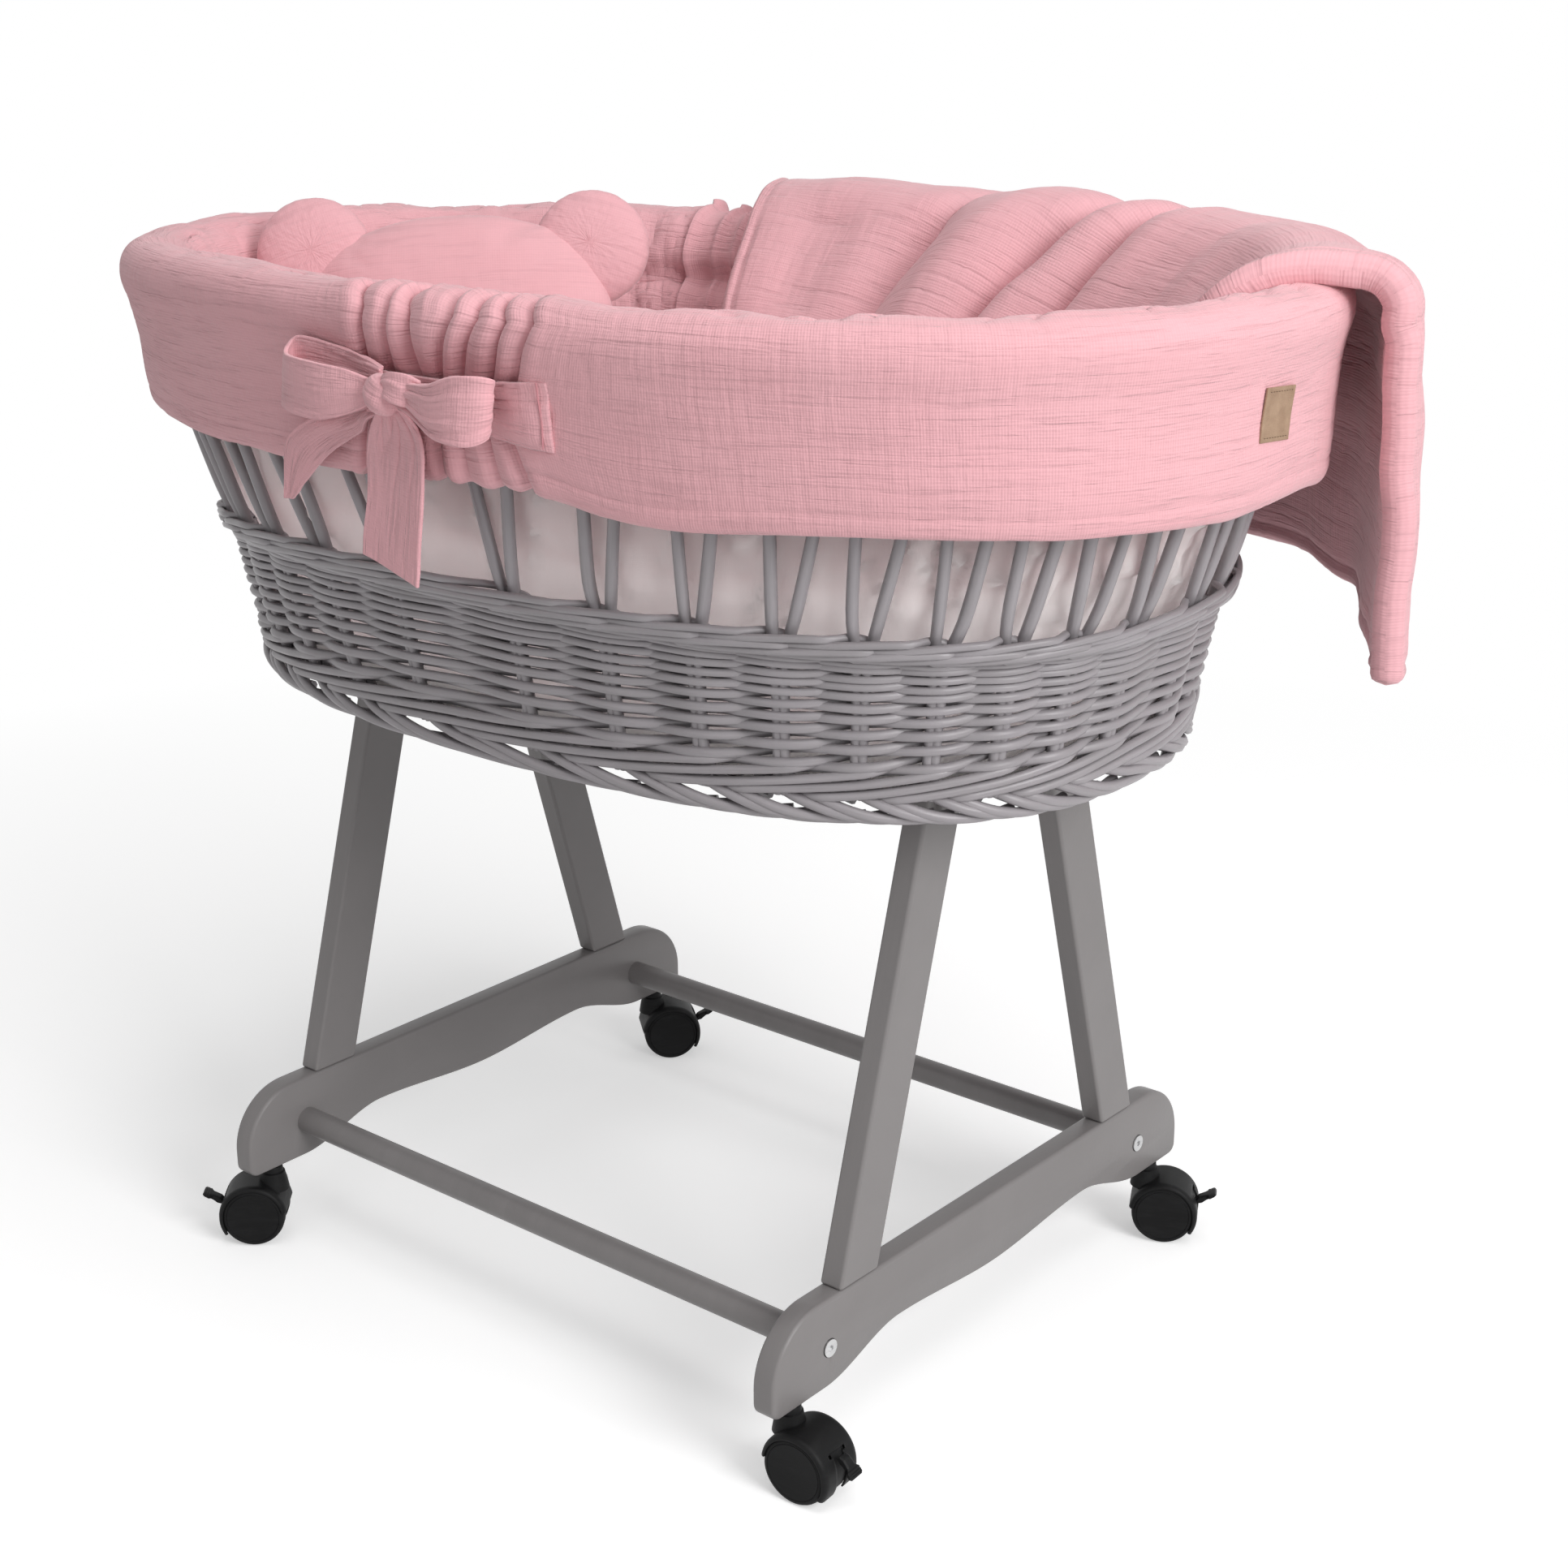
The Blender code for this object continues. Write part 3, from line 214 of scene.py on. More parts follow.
def fix_normals(obj, close=False):
    """Turn all faces outwards, after closing any open ends if asked."""
    shape = bmesh.new()
    shape.from_mesh(obj.data)
    if close:
        bmesh.ops.holes_fill(shape, edges=[e for e in shape.edges if e.is_boundary], sides=0)
    bmesh.ops.recalc_face_normals(shape, faces=shape.faces)
    shape.to_mesh(obj.data)
    shape.free()
    return obj


def normals(grid, wrap=False):
    """Unit normals of a grid of points: along the first index, crossed with the second."""
    if wrap:
        du = np.roll(grid, -1, 0) - np.roll(grid, 1, 0)
    else:
        du = np.gradient(grid, axis=0)
    dv = np.gradient(grid, axis=1)
    n = np.cross(du, dv)
    return n / np.maximum(np.linalg.norm(n, axis=-1, keepdims=True), 1e-12)


def sheet_piece(name, grid, u, v, material, wrap=False):
    """One surface from a grid of points; u and v are metres of cloth along its two ways."""
    nu, nv = grid.shape[:2]
    faces, uvs = [], []
    full = float(u.max()) + float(u[1] - u[0])
    for i in range(nu if wrap else nu - 1):
        k = (i + 1) % nu
        for j in range(nv - 1):
            ids = [(i, j), (k, j), (k, j + 1), (i, j + 1)]
            faces.append([a * nv + b for a, b in ids])
            uvs += [(full if wrap and k == 0 and a == 0 else u[a], v[b]) for a, b in ids]
    return piece_from(name, grid.reshape(-1, 3), faces, material, uvs)


def thicken(obj, thickness, offset=-1.0):
    solid = obj.modifiers.new("thickness", "SOLIDIFY")
    solid.thickness = thickness
    solid.offset = offset
    solid.use_rim = True
    return obj


def slab_piece(name, grid, u, v, thickness, rounding, material, groove):
    """A padded slab round a grid of middle points, with rounded edges on all four sides.

    The groove is the seam of the binding: its distance from the edge, and its depth.
    """
    nu, nv = grid.shape[:2]
    n = normals(grid)
    run_u = np.concatenate([np.zeros((1, nv)), np.cumsum(
        np.linalg.norm(np.diff(grid, axis=0), axis=2), axis=0)])
    run_v = np.concatenate([np.zeros((nu, 1)), np.cumsum(
        np.linalg.norm(np.diff(grid, axis=1), axis=2), axis=1)], axis=1)
    edge_u = np.minimum(run_u, run_u[-1:] - run_u)
    edge_v = np.minimum(run_v, run_v[:, -1:] - run_v)
    edge = np.minimum(edge_u, edge_v)
    half = thickness / 2 * np.sqrt(np.clip(1 - (1 - np.clip(edge / rounding, 0, 1)) ** 2, 0, 1))
    half = half - groove[1] * hump(edge, groove[0], 0.0022) * (edge > 0.004)
    half = np.maximum(half, 0)[..., None]
    top, low = grid + n * half, grid - n * half
    verts, faces, uvs = list(top.reshape(-1, 3)), [], []
    number = {}
    for i in range(nu):
        for j in range(nv):
            if 0 < i < nu - 1 and 0 < j < nv - 1:
                number[i, j] = len(verts)
                verts.append(low[i, j])
            else:
                number[i, j] = i * nv + j
    for i in range(nu - 1):
        for j in range(nv - 1):
            ids = [(i, j), (i + 1, j), (i + 1, j + 1), (i, j + 1)]
            faces.append([a * nv + b for a, b in ids])
            uvs += [(u[a], v[b]) for a, b in ids]
            faces.append([number[p] for p in reversed(ids)])
            uvs += [(u[a] + UNDERSIDE_SHIFT, v[b]) for a, b in reversed(ids)]
    return piece_from(name, verts, faces, material, uvs)


def rods(name, paths, material, sides=8):
    """Round rods along paths. A path is (points, radii)."""
    verts, faces, uvs = [], [], []
    ring = np.linspace(0, 2 * math.pi, sides, endpoint=False)
    for points, radii in paths:
        points = np.asarray(points, float)
        count = len(points)
        radii = np.broadcast_to(radii, (count,))
        tangent = np.gradient(points, axis=0)
        tangent /= np.linalg.norm(tangent, axis=1, keepdims=True)
        out = points * (1, 1, 0) + (1e-9, 0, 0)
        out /= np.linalg.norm(out, axis=1, keepdims=True)
        out -= tangent * (out * tangent).sum(1, keepdims=True)
        out /= np.linalg.norm(out, axis=1, keepdims=True)
        side = np.cross(tangent, out)
        start = len(verts)
        loop = (points[:, None] + radii[:, None, None] * (
            np.cos(ring)[None, :, None] * out[:, None]
            + np.sin(ring)[None, :, None] * side[:, None]))
        verts += list(loop.reshape(-1, 3))
        shift = (start * 0.013) % 3.0
        u = run_along(points) + shift
        v = np.arange(sides + 1) / sides * ROD_GIRTH
        for i in range(count - 1):
            for k in range(sides):
                m = (k + 1) % sides
                faces.append([start + i * sides + k, start + i * sides + m,
                              start + (i + 1) * sides + m, start + (i + 1) * sides + k])
                uvs += [(u[i], v[k]), (u[i], v[k + 1]), (u[i + 1], v[k + 1]), (u[i + 1], v[k])]
        for base, order in ((start, -1), (start + (count - 1) * sides, 1)):
            faces.append([base + k for k in range(sides)][::order])
            uvs += [(shift, 0.0)] * sides
    obj = piece_from(name, verts, faces, material, uvs)
    obj.data.set_sharp_from_angle(angle=math.radians(60))
    return obj


# ------------------------------------------------------------------ materials
class Nodes:
    """Small helper to write node trees."""

    def __init__(self, name):
        self.material = bpy.data.materials.new(name)
        self.material.use_nodes = True
        self.tree = self.material.node_tree
        self.shader = self.tree.nodes["Principled BSDF"]

    def add(self, kind, **settings):
        node = self.tree.nodes.new(kind)
        for key, value in settings.items():
            setattr(node, key, value)
        return node

    def link(self, source, target):
        self.tree.links.new(source, target)

    def value(self, socket, value):
        if isinstance(value, bpy.types.NodeSocket):
            self.link(value, socket)
        else:
            socket.default_value = value

    def coords(self, kind, scale=(1, 1, 1)):
        source = self.add("ShaderNodeTexCoord").outputs[kind]
        mapping = self.add("ShaderNodeMapping")
        self.link(source, mapping.inputs["Vector"])
        mapping.inputs["Scale"].default_value = scale
        return mapping.outputs["Vector"]

    def noise(self, vector, scale, detail=3.0, roughness=0.55, distortion=0.0):
        node = self.add("ShaderNodeTexNoise")
        self.link(vector, node.inputs["Vector"])
        node.inputs["Scale"].default_value = scale
        node.inputs["Detail"].default_value = detail
        node.inputs["Roughness"].default_value = roughness
        node.inputs["Distortion"].default_value = distortion
        return node.outputs["Fac"]

    def wave(self, vector, scale, direction="X", distortion=0.0, detail_scale=1.0):
        node = self.add("ShaderNodeTexWave", wave_type="BANDS", bands_direction=direction)
        self.link(vector, node.inputs["Vector"])
        node.inputs["Scale"].default_value = scale
        node.inputs["Distortion"].default_value = distortion
        node.inputs["Detail"].default_value = 2.0
        node.inputs["Detail Scale"].default_value = detail_scale
        return node.outputs["Fac"]

    def math(self, operation, a, b=0.0):
        node = self.add("ShaderNodeMath", operation=operation)
        self.value(node.inputs[0], a)
        self.value(node.inputs[1], b)
        return node.outputs[0]

    def ramp(self, factor, low, high, from_low=0.3, from_high=0.7):
        node = self.add("ShaderNodeMapRange", clamp=True)
        self.value(node.inputs["Value"], factor)
        for key, number in (("From Min", from_low), ("From Max", from_high),
                            ("To Min", low), ("To Max", high)):
            node.inputs[key].default_value = number
        return node.outputs["Result"]

    def mix(self, factor, low, high):
        node = self.add("ShaderNodeMix", data_type="RGBA")
        self.value(node.inputs["Factor"], factor)
        self.value(node.inputs["A"], (*low, 1) if isinstance(low, tuple) else low)
        self.value(node.inputs["B"], (*high, 1) if isinstance(high, tuple) else high)
        return node.outputs["Result"]

    def bump(self, height, distance, strength=1.0, before=None):
        node = self.add("ShaderNodeBump")
        node.inputs["Strength"].default_value = strength
        node.inputs["Distance"].default_value = distance
        self.link(height, node.inputs["Height"])
        if before is not None:
            self.link(before, node.inputs["Normal"])
        return node.outputs["Normal"]

    def finish(self, colour, roughness, normal=None, **sockets):
        self.value(self.shader.inputs["Base Color"],
                   (*colour, 1) if isinstance(colour, tuple) else colour)
        self.value(self.shader.inputs["Roughness"], roughness)
        if normal is not None:
            self.link(normal, self.shader.inputs["Normal"])
        for key, number in sockets.items():
            self.shader.inputs[key.replace("_", " ")].default_value = number
        return self.material


def scaled(colour, by):
    return tuple(c * by for c in colour)


def muslin(name, colour, size=1.0, strength=1.0):
    """Crinkled double gauze: open square weave, fine wrinkles one way, dry matt fibres."""
    n = Nodes(name)
    flat = n.coords("UV")
    wrinkle = n.noise(n.coords("UV", (16 / size, 210 / size, 1)), 1.0, 3.0, 0.55, 0.3)
    second = n.noise(n.coords("UV", (34 / size, 400 / size, 1)), 1.0, 2.0, 0.5, 0.25)
    cross = n.noise(n.coords("UV", (150 / size, 30 / size, 1)), 1.0, 2.0, 0.5, 0.3)
    weave_a = n.wave(flat, 175.0, "X", 1.2, 0.6)
    weave_b = n.wave(flat, 160.0, "Y", 1.2, 0.6)
    puffs = n.noise(flat, 380.0, 2.0, 0.5)
    weave = n.math("ADD", n.math("MULTIPLY", weave_a, 0.5), n.math("MULTIPLY", weave_b, 0.5))
    weave = n.math("ADD", weave, n.math("MULTIPLY", puffs, 0.8))
    mottle = n.noise(flat, 14.0, 3.0)
    # painted shade: the cloth is darker in the wrinkles' valleys, where the same noises bump it low
    lines = n.math("MULTIPLY", n.ramp(wrinkle, 0, 1, 0.28, 0.46),
                   n.ramp(second, 0.88, 1, 0.3, 0.5))
    base = n.mix(lines, scaled(colour, 0.91), scaled(colour, 1.02))
    base = n.mix(n.math("MULTIPLY", n.ramp(weave, 0, 1, 0.4, 1.3), 0.22), base,
                 scaled(colour, 0.84))
    base = n.mix(n.math("MULTIPLY", n.ramp(mottle, 0, 1), 0.30), base,
                 (colour[0] * 1.01, colour[1] * 0.93, colour[2] * 0.94))
    normal = n.bump(weave, 0.00032, 0.65 * strength)
    normal = n.bump(cross, 0.0013, 0.60 * strength, normal)
    normal = n.bump(second, 0.0009, 0.50 * strength, normal)
    normal = n.bump(n.ramp(wrinkle, 0, 1, 0.30, 0.50), 0.0009, 0.60 * strength, normal)
    rough = n.ramp(mottle, 0.88, 0.98)
    return n.finish(base, rough, normal, Sheen_Weight=0.30, Sheen_Roughness=0.45,
                    Specular_IOR_Level=0.12)


def cotton(name, colour, through=0.0):
    """Plain cotton; some light comes through the thin lining."""
    n = Nodes(name)
    flat = n.coords("UV")
    weave = n.math("ADD", n.wave(flat, 380.0, "X", 0.6), n.wave(flat, 380.0, "Y", 0.6))
    creased = n.noise(n.coords("UV", (26, 10, 1)), 1.0, 4.0, 0.5, 1.4)
    # painted shade: the cotton is darker in the valleys of its creases, where the same noise bumps
    # it low
    base = n.mix(n.ramp(creased, 0, 1), scaled(colour, 0.94), colour)
    normal = n.bump(weave, 0.0002, 0.35)
    normal = n.bump(creased, 0.005, 0.6, normal)
    n.finish(base, n.ramp(creased, 0.82, 0.92), normal, Specular_IOR_Level=0.2,
             Sheen_Weight=0.08)
    if through:
        glow = n.add("ShaderNodeBsdfTranslucent")
        glow.inputs["Color"].default_value = (1.0, 0.985, 0.98, 1)
        both = n.add("ShaderNodeMixShader")
        both.inputs["Fac"].default_value = through
        n.link(n.shader.outputs["BSDF"], both.inputs[1])
        n.link(glow.outputs["BSDF"], both.inputs[2])
        n.link(both.outputs["Shader"], n.tree.nodes["Material Output"].inputs["Surface"])
    return n.material


def painted_wicker(name):
    """Grey paint on willow, streaked along each rod and a little glossy."""
    n = Nodes(name)
    along = n.noise(n.coords("UV", (14, 160, 1)), 1.0, 3.0, 0.6)
    patches = n.noise(n.coords("Object"), 26.0, 3.0)
    fine = n.noise(n.coords("Object"), 420.0, 3.0, 0.6)
    colour = (0.310, 0.288, 0.304)
    base = n.mix(n.ramp(along, 0, 1), scaled(colour, 0.88), scaled(colour, 1.12))
    base = n.mix(n.math("MULTIPLY", n.ramp(patches, 0, 1), 0.4), base,
                 (0.250, 0.236, 0.238))
    normal = n.bump(fine, 0.0003, 0.4)
    normal = n.bump(along, 0.0010, 0.5, normal)
    return n.finish(base, n.ramp(patches, 0.34, 0.46), normal, Specular_IOR_Level=0.45)


def painted_wood(name):
    """Grey paint on planed boards, with faint brush marks and grain."""
    n = Nodes(name)
    place = n.coords("Object")
    brush = n.noise(n.coords("Object", (60, 9, 9)), 1.0, 4.0, 0.6, 0.4)
    grain = n.noise(n.coords("Object", (220, 16, 16)), 1.0, 3.0, 0.6, 0.8)
    peel = n.noise(place, 300.0, 2.0, 0.5)
    cloud = n.noise(place, 7.0, 3.0)
    colour = (0.202, 0.190, 0.189)
    base = n.mix(n.ramp(brush, 0, 1), scaled(colour, 0.94), scaled(colour, 1.05))
    base = n.mix(n.math("MULTIPLY", n.ramp(cloud, 0, 1), 0.3), base, scaled(colour, 1.08))
    normal = n.bump(peel, 0.0002, 0.35)
    normal = n.bump(grain, 0.0004, 0.35, normal)
    return n.finish(base, n.ramp(cloud, 0.36, 0.46), normal, Specular_IOR_Level=0.42)


def black_plastic(name, gloss=0.42):
    """Moulded plastic with fine texture and scuffs; gloss is its lowest roughness."""
    n = Nodes(name)
    place = n.coords("Object")
    fine = n.noise(place, 1500.0, 2.0, 0.6)
    scuffs = n.noise(n.coords("Object", (30, 30, 140)), 1.0, 4.0, 0.7)
    base = n.mix(n.ramp(scuffs, 0, 1, 0.45, 0.75), (0.0075, 0.0075, 0.0078),
                 (0.0140, 0.0140, 0.0145))
    normal = n.bump(fine, 0.00012, 0.5)
    return n.finish(base, n.ramp(scuffs, gloss, gloss + 0.12), normal, Specular_IOR_Level=0.13)


def brushed_steel(name):
    n = Nodes(name)
    lines = n.noise(n.coords("Object", (900, 60, 900)), 1.0, 3.0, 0.6)
    base = n.mix(n.ramp(lines, 0, 1), (0.50, 0.50, 0.51), (0.66, 0.66, 0.66))
    normal = n.bump(lines, 0.0001, 0.3)
    return n.finish(base, n.ramp(lines, 0.26, 0.40), normal, Metallic=1.0)


def leather(name):
    n = Nodes(name)
    place = n.coords("Object")
    cells = n.add("ShaderNodeTexVoronoi", feature="DISTANCE_TO_EDGE")
    n.link(place, cells.inputs["Vector"])
    cells.inputs["Scale"].default_value = 900.0
    cloud = n.noise(place, 120.0, 3.0)
    base = n.mix(n.ramp(cloud, 0, 1), (0.30, 0.195, 0.125), (0.40, 0.275, 0.185))
    normal = n.bump(n.ramp(cells.outputs["Distance"], 0, 1, 0.0, 0.12), 0.0002, 0.6)
    return n.finish(base, n.ramp(cloud, 0.50, 0.65), normal, Specular_IOR_Level=0.35)


def thread(name, colour):
    n = Nodes(name)
    twist = n.wave(n.coords("Object"), 900.0, "DIAGONAL", 0.3)
    # painted shade: the thread is darker in the grooves of its twist, where the same bands bump it
    # low
    base = n.mix(twist, scaled(colour, 0.75), colour)
    return n.finish(base, n.ramp(twist, 0.75, 0.9, 0, 1), n.bump(twist, 0.0001, 0.5))


PINK = (0.735, 0.402, 0.434)
MUSLIN = muslin("pink_muslin", PINK)
MUSLIN_PILLOW = muslin("pink_muslin_pillow", PINK, 1.2, 0.45)
MUSLIN_RIBBON = muslin("pink_muslin_ribbon", PINK, 0.8)
MUSLIN_QUILT = muslin("pink_muslin_quilt", PINK, 1.3)
COTTON = cotton("white_cotton", (0.86, 0.83, 0.825))
# painted light: the lining takes a brighter copy of the white cotton, to make up for the shade
# inside the basket
BRIGHTENED_COTTON_LINING = cotton("white_cotton_lining_brightened", (1.0, 0.98, 0.975), 0.66)
WICKER = painted_wicker("painted_wicker")
WOOD = painted_wood("painted_wood")
BLACK = black_plastic("black_plastic")
TREAD = black_plastic("black_tread", 0.55)
STEEL = brushed_steel("steel")
LEATHER = leather("tan_leather")
PINK_THREAD = thread("pink_thread", (0.62, 0.27, 0.30))
TAN_THREAD = thread("tan_thread", (0.16, 0.10, 0.06))


# ------------------------------------------------------------------ wickerwork
ALONG = 0.125                     # step between a stroke's points, in columns
WEAVE_DEEP = -0.0082              # middle of the wall, inside the outer face
WEAVE_TOP = 0.5615                # where the weave ends, under the band at the waist
WEAVE_R, WEAVE_TAPER = 0.00345, 0.0013
WEAVE_SWING = 0.0050              # how far a rod swings in and out round the stakes
# the wale at the foot: columns along, height and its rise, and radius
FOOT_WALE_START, FOOT_WALE_LONG = -0.95, 3.7
FOOT_WALE_Z, FOOT_WALE_RISE, FOOT_WALE_R = 0.4620, 0.0250, 0.0032
# the two courses of the band at the waist: first column, lower and upper height, and radius
WAIST_COURSES = ((0.0, 0.5590, 0.5655, 0.0027), (0.5, 0.5645, 0.5715, 0.0026))
FOOT_BORDER_R = 0.0033
LEVELS = np.array([0.4850, 0.4968, 0.5073, 0.5168, 0.5252, 0.5328, 0.5396, 0.5456, 0.5508,
                   0.5553, 0.5593, 0.5630])


# each stroke of the foot border: columns along, height and distance out
FOOT_STROKE = ((-0.10, 0.4740, -0.0125), (0.10, 0.4665, -0.0095), (0.42, 0.4605, -0.0030),
               (0.85, 0.4540, -0.0006), (1.30, 0.4500, -0.0024), (1.80, 0.4486, -0.0064),
               (2.30, 0.4502, -0.0112))
BASE_Z, BASE_INSET = 0.4600, 0.016
BASE_ROD_R, BASE_ROD_PITCH = 0.0032, 0.0074
BASE_STICK_R, BASE_STICK_PITCH, BASE_STICK_REACH = 0.0036, 0.055, 0.33
# a stake's heights, its distance from the middle of its pair, and how much of its bend it takes
STAKE_PLACES = ((0.462, 0.0022, (0, 0)), (0.520, 0.0022, (0, 0)), (0.558, 0.0040, (0, 0)),
                (0.588, 0.0082, (1, 0)), (0.645, 0.0132, (0, 1)), (0.722, 0.0195, (0, 0)))
STAKE_BEND = 0.0024
STAKE_RADII = ((0.46, 0.0034), (0.555, 0.0036), (0.585, 0.0041), (0.72, 0.0037))
STAKE_LEAN, LEAN_FROM_X, LEAN_FROM_Z = 0.17, 0.12, 0.565     # towards the head, near the head
BORDER_Z, BORDER_DEEP, BORDER_R = 0.7245, -0.0050, 0.0034


def column_angle(s):
    return 2 * math.pi * (np.asarray(s, float) + 0.5) / COLUMNS


def along_column(s, z, grow):
    """Point of the wickerwork at a column coordinate: whole numbers are the pairs of stakes."""
    return wicker_point(column_angle(s), z, grow)


def beside(s, z, metres):
    """Column coordinate moved sideways by metres of run at that height."""
    a, b = wicker_oval(z)
    probe = 0.02
    x0, y0 = oval_xy(a, b, column_angle(s))
    x1, y1 = oval_xy(a, b, column_angle(s + probe))
    return s + metres / max(math.hypot(x1 - x0, y1 - y0) / probe, 1e-6)


def build_weave():
    """French randing: one rod a column, each climbing to the right, in and out of the stakes."""
    rng = np.random.default_rng(5)
    rise = np.arange(len(LEVELS))
    paths = []
    for k in range(COLUMNS):
        s = np.arange(-0.35, 2 * len(LEVELS) - 1.2, ALONG)
        round_at = (s - 1) / 2
        level = round_at - 0.10 * np.sin(2 * math.pi * round_at)
        z = np.interp(level, rise, LEVELS)
        z = np.where(level < 0, LEVELS[0] + level * 0.016, z)
        z += 0.0007 * lattice(s * 0.7 + k * 3.1, np.zeros_like(s) + k, 7)
        share = np.clip(round_at / (len(LEVELS) - 1), 0, 1)
        radius = WEAVE_R - WEAVE_TAPER * share + rng.uniform(-0.00015, 0.00015)
        swing = WEAVE_SWING * (1 - 0.2 * share) * np.cos(math.pi * (s - 1))
        keep = z < WEAVE_TOP
        points = along_column(s + k, z, WEAVE_DEEP + swing)
        paths.append((points[keep], radius[keep]))
    weave = rods("wicker_weave", paths, WICKER, 8)
    ride(weave, replaces=["wicker_wall"])


def build_wales():
    """Long strokes: a wale at the foot of the weave, and the band at the waist."""
    paths = []
    for m in range(COLUMNS):
        s = np.arange(FOOT_WALE_START, FOOT_WALE_START + FOOT_WALE_LONG, ALONG)
        t = (s - FOOT_WALE_START) / FOOT_WALE_LONG
        z = FOOT_WALE_Z + FOOT_WALE_RISE * t ** 1.3
        inside = step(FOOT_WALE_START + 0.5, FOOT_WALE_START, s) + step(2.05, 2.70, s)
        grow = -0.0022 - 0.0105 * inside
        z = z + 0.0006 * lattice(s * 0.8, s * 0 + m * 1.7, 21)
        paths.append((along_column(s + m, z, grow), FOOT_WALE_R - 0.0003 * t))
    foot = rods("wicker_foot_wale", paths, WICKER, 8)
    ride(foot)
    paths = []
    for first, low, high, radius in WAIST_COURSES:
        for turn in range(3):
            start = first + turn
            s = np.arange(start, start + COLUMNS + 0.01, ALONG)
            phase = (s - start) % 3.0
            z = low + (high - low) * step(0.1, 2.1, phase) * (1 - step(2.3, 3.0, phase))
            away = step(1.95, 2.40, phase) * (1 - step(2.6, 3.0, phase))
            grow = 0.0022 - 0.0046 * step(1.2, 0.1, phase) - 0.0104 * away
            z = z + 0.0005 * lattice(s * 0.6, s * 0 + start * 9, 31)
            points = along_column(s, z, grow)
            points[-1] = points[0]
            paths.append((points[:-1], radius))
    band = rods("wicker_waist_wale", paths, WICKER, 8)
    ride(band, replaces=["waist_band"])


def build_foot_border():
    """Plaited border round the foot: each stake's end is laid along and tucked in."""
    paths = []
    for c in range(COLUMNS):
        for side in (-1, 1):
            at = c + side * 0.15
            line, _ = spline([(at + s, z, grow) for s, z, grow in FOOT_STROKE], 26)
            sway = 0.0006 * lattice(line[:, 0], line[:, 0] * 0 + c * 2.3 + side, 41)
            paths.append((along_column(line[:, 0], line[:, 1] + sway, line[:, 2]), FOOT_BORDER_R))
    border = rods("wicker_foot_border", paths, WICKER, 8)
    ride(border, replaces=["foot_border"])


def build_base():
    """Base: long rods woven through cross sticks."""
    paths = []
    a, b = (float(half) - BASE_INSET for half in wicker_oval(BASE_Z))
    for i, y in enumerate(np.arange(-b + 0.006, b - 0.003, BASE_ROD_PITCH)):
        reach = float(oval_y(b, a, y))
        x = np.linspace(-reach, reach, 60)
        sway = 0.0030 * np.cos(math.pi * (x / BASE_STICK_PITCH) + math.pi * (i % 2))
        paths.append((np.stack([x, x * 0 + y, BASE_Z + sway], -1), BASE_ROD_R))
    for x in np.arange(-BASE_STICK_REACH, BASE_STICK_REACH + 0.001, BASE_STICK_PITCH):
        reach = float(oval_y(a, b, x))
        y = np.linspace(-reach, reach, 8)
        paths.append((np.stack([y * 0 + x, y, y * 0 + BASE_Z], -1), BASE_STICK_R))
    base = rods("wicker_base", paths, WICKER, 6)
    ride(base, replaces=["base_board"])


def build_stakes():
    """Pairs of upright stakes that spread and lean above the weave, and the border they end in."""
    rng = np.random.default_rng(12)
    radius_at = np.array(STAKE_RADII).T
    paths = []
    for c in range(COLUMNS):
        for side in (-1, 1):
            bend = rng.uniform(-STAKE_BEND, STAKE_BEND, 2)
            line = []
            for z, apart, takes in STAKE_PLACES:
                s = beside(c, z, side * apart + takes[0] * bend[0] + takes[1] * bend[1])
                deep = WEAVE_DEEP + 0.0012 if z < 0.57 else -0.0052
                place = along_column(s, z, deep)
                # the lean grows with the height, and fades out at the basket's head
                window = max(0.0, 1 - (place[0] / 0.40) ** 2)
                lean = STAKE_LEAN * min(0.0, place[0] - LEAN_FROM_X) * window
                place[0] += lean * max(0.0, z - LEAN_FROM_Z) / (STAKE_PLACES[-1][0] - LEAN_FROM_Z)
                line.append(place)
            points, _ = spline(np.array(line), 30)
            radius = np.interp(points[:, 2], *radius_at)
            paths.append((points, radius * rng.uniform(0.94, 1.05)))
    top = []
    for turn in range(3):
        s = np.arange(0, COLUMNS, 0.2)
        wave = math.pi * s * 2 / 3 + turn * 2 * math.pi / 3
        z = BORDER_Z + 0.0036 * np.sin(wave)
        top.append((along_column(s, z, BORDER_DEEP + 0.0034 * np.cos(wave)), BORDER_R))
    stakes = rods("wicker_stakes", paths + top, WICKER, 10)
    ride(stakes, replaces=["stakes_and_border"])


# ------------------------------------------------------------------ padded cover
# section of the cover from the hem, up the outside, over the roll, and down the inside
COVER_ROWS = [
    (0.4360, 0.2640, 0.6430), (0.4385, 0.2672, 0.6372), (0.4425, 0.2722, 0.6412),
    (0.4445, 0.2752, 0.6600), (0.4452, 0.2785, 0.6900), (0.4475, 0.2843, 0.7150),
    (0.4520, 0.2890, 0.7350), (0.4500, 0.2862, 0.7475), (0.4425, 0.2772, 0.7548),
    (0.4300, 0.2620, 0.7560), (0.4180, 0.2485, 0.7515), (0.4090, 0.2390, 0.7385),
    (0.4040, 0.2335, 0.7220), (0.4045, 0.2380, 0.7020), (0.3900, 0.2270, 0.6820),
    (0.3790, 0.2215, 0.6420), (0.3700, 0.2200, 0.6040),
]
ROLL_OVAL = (0.460, 0.289)
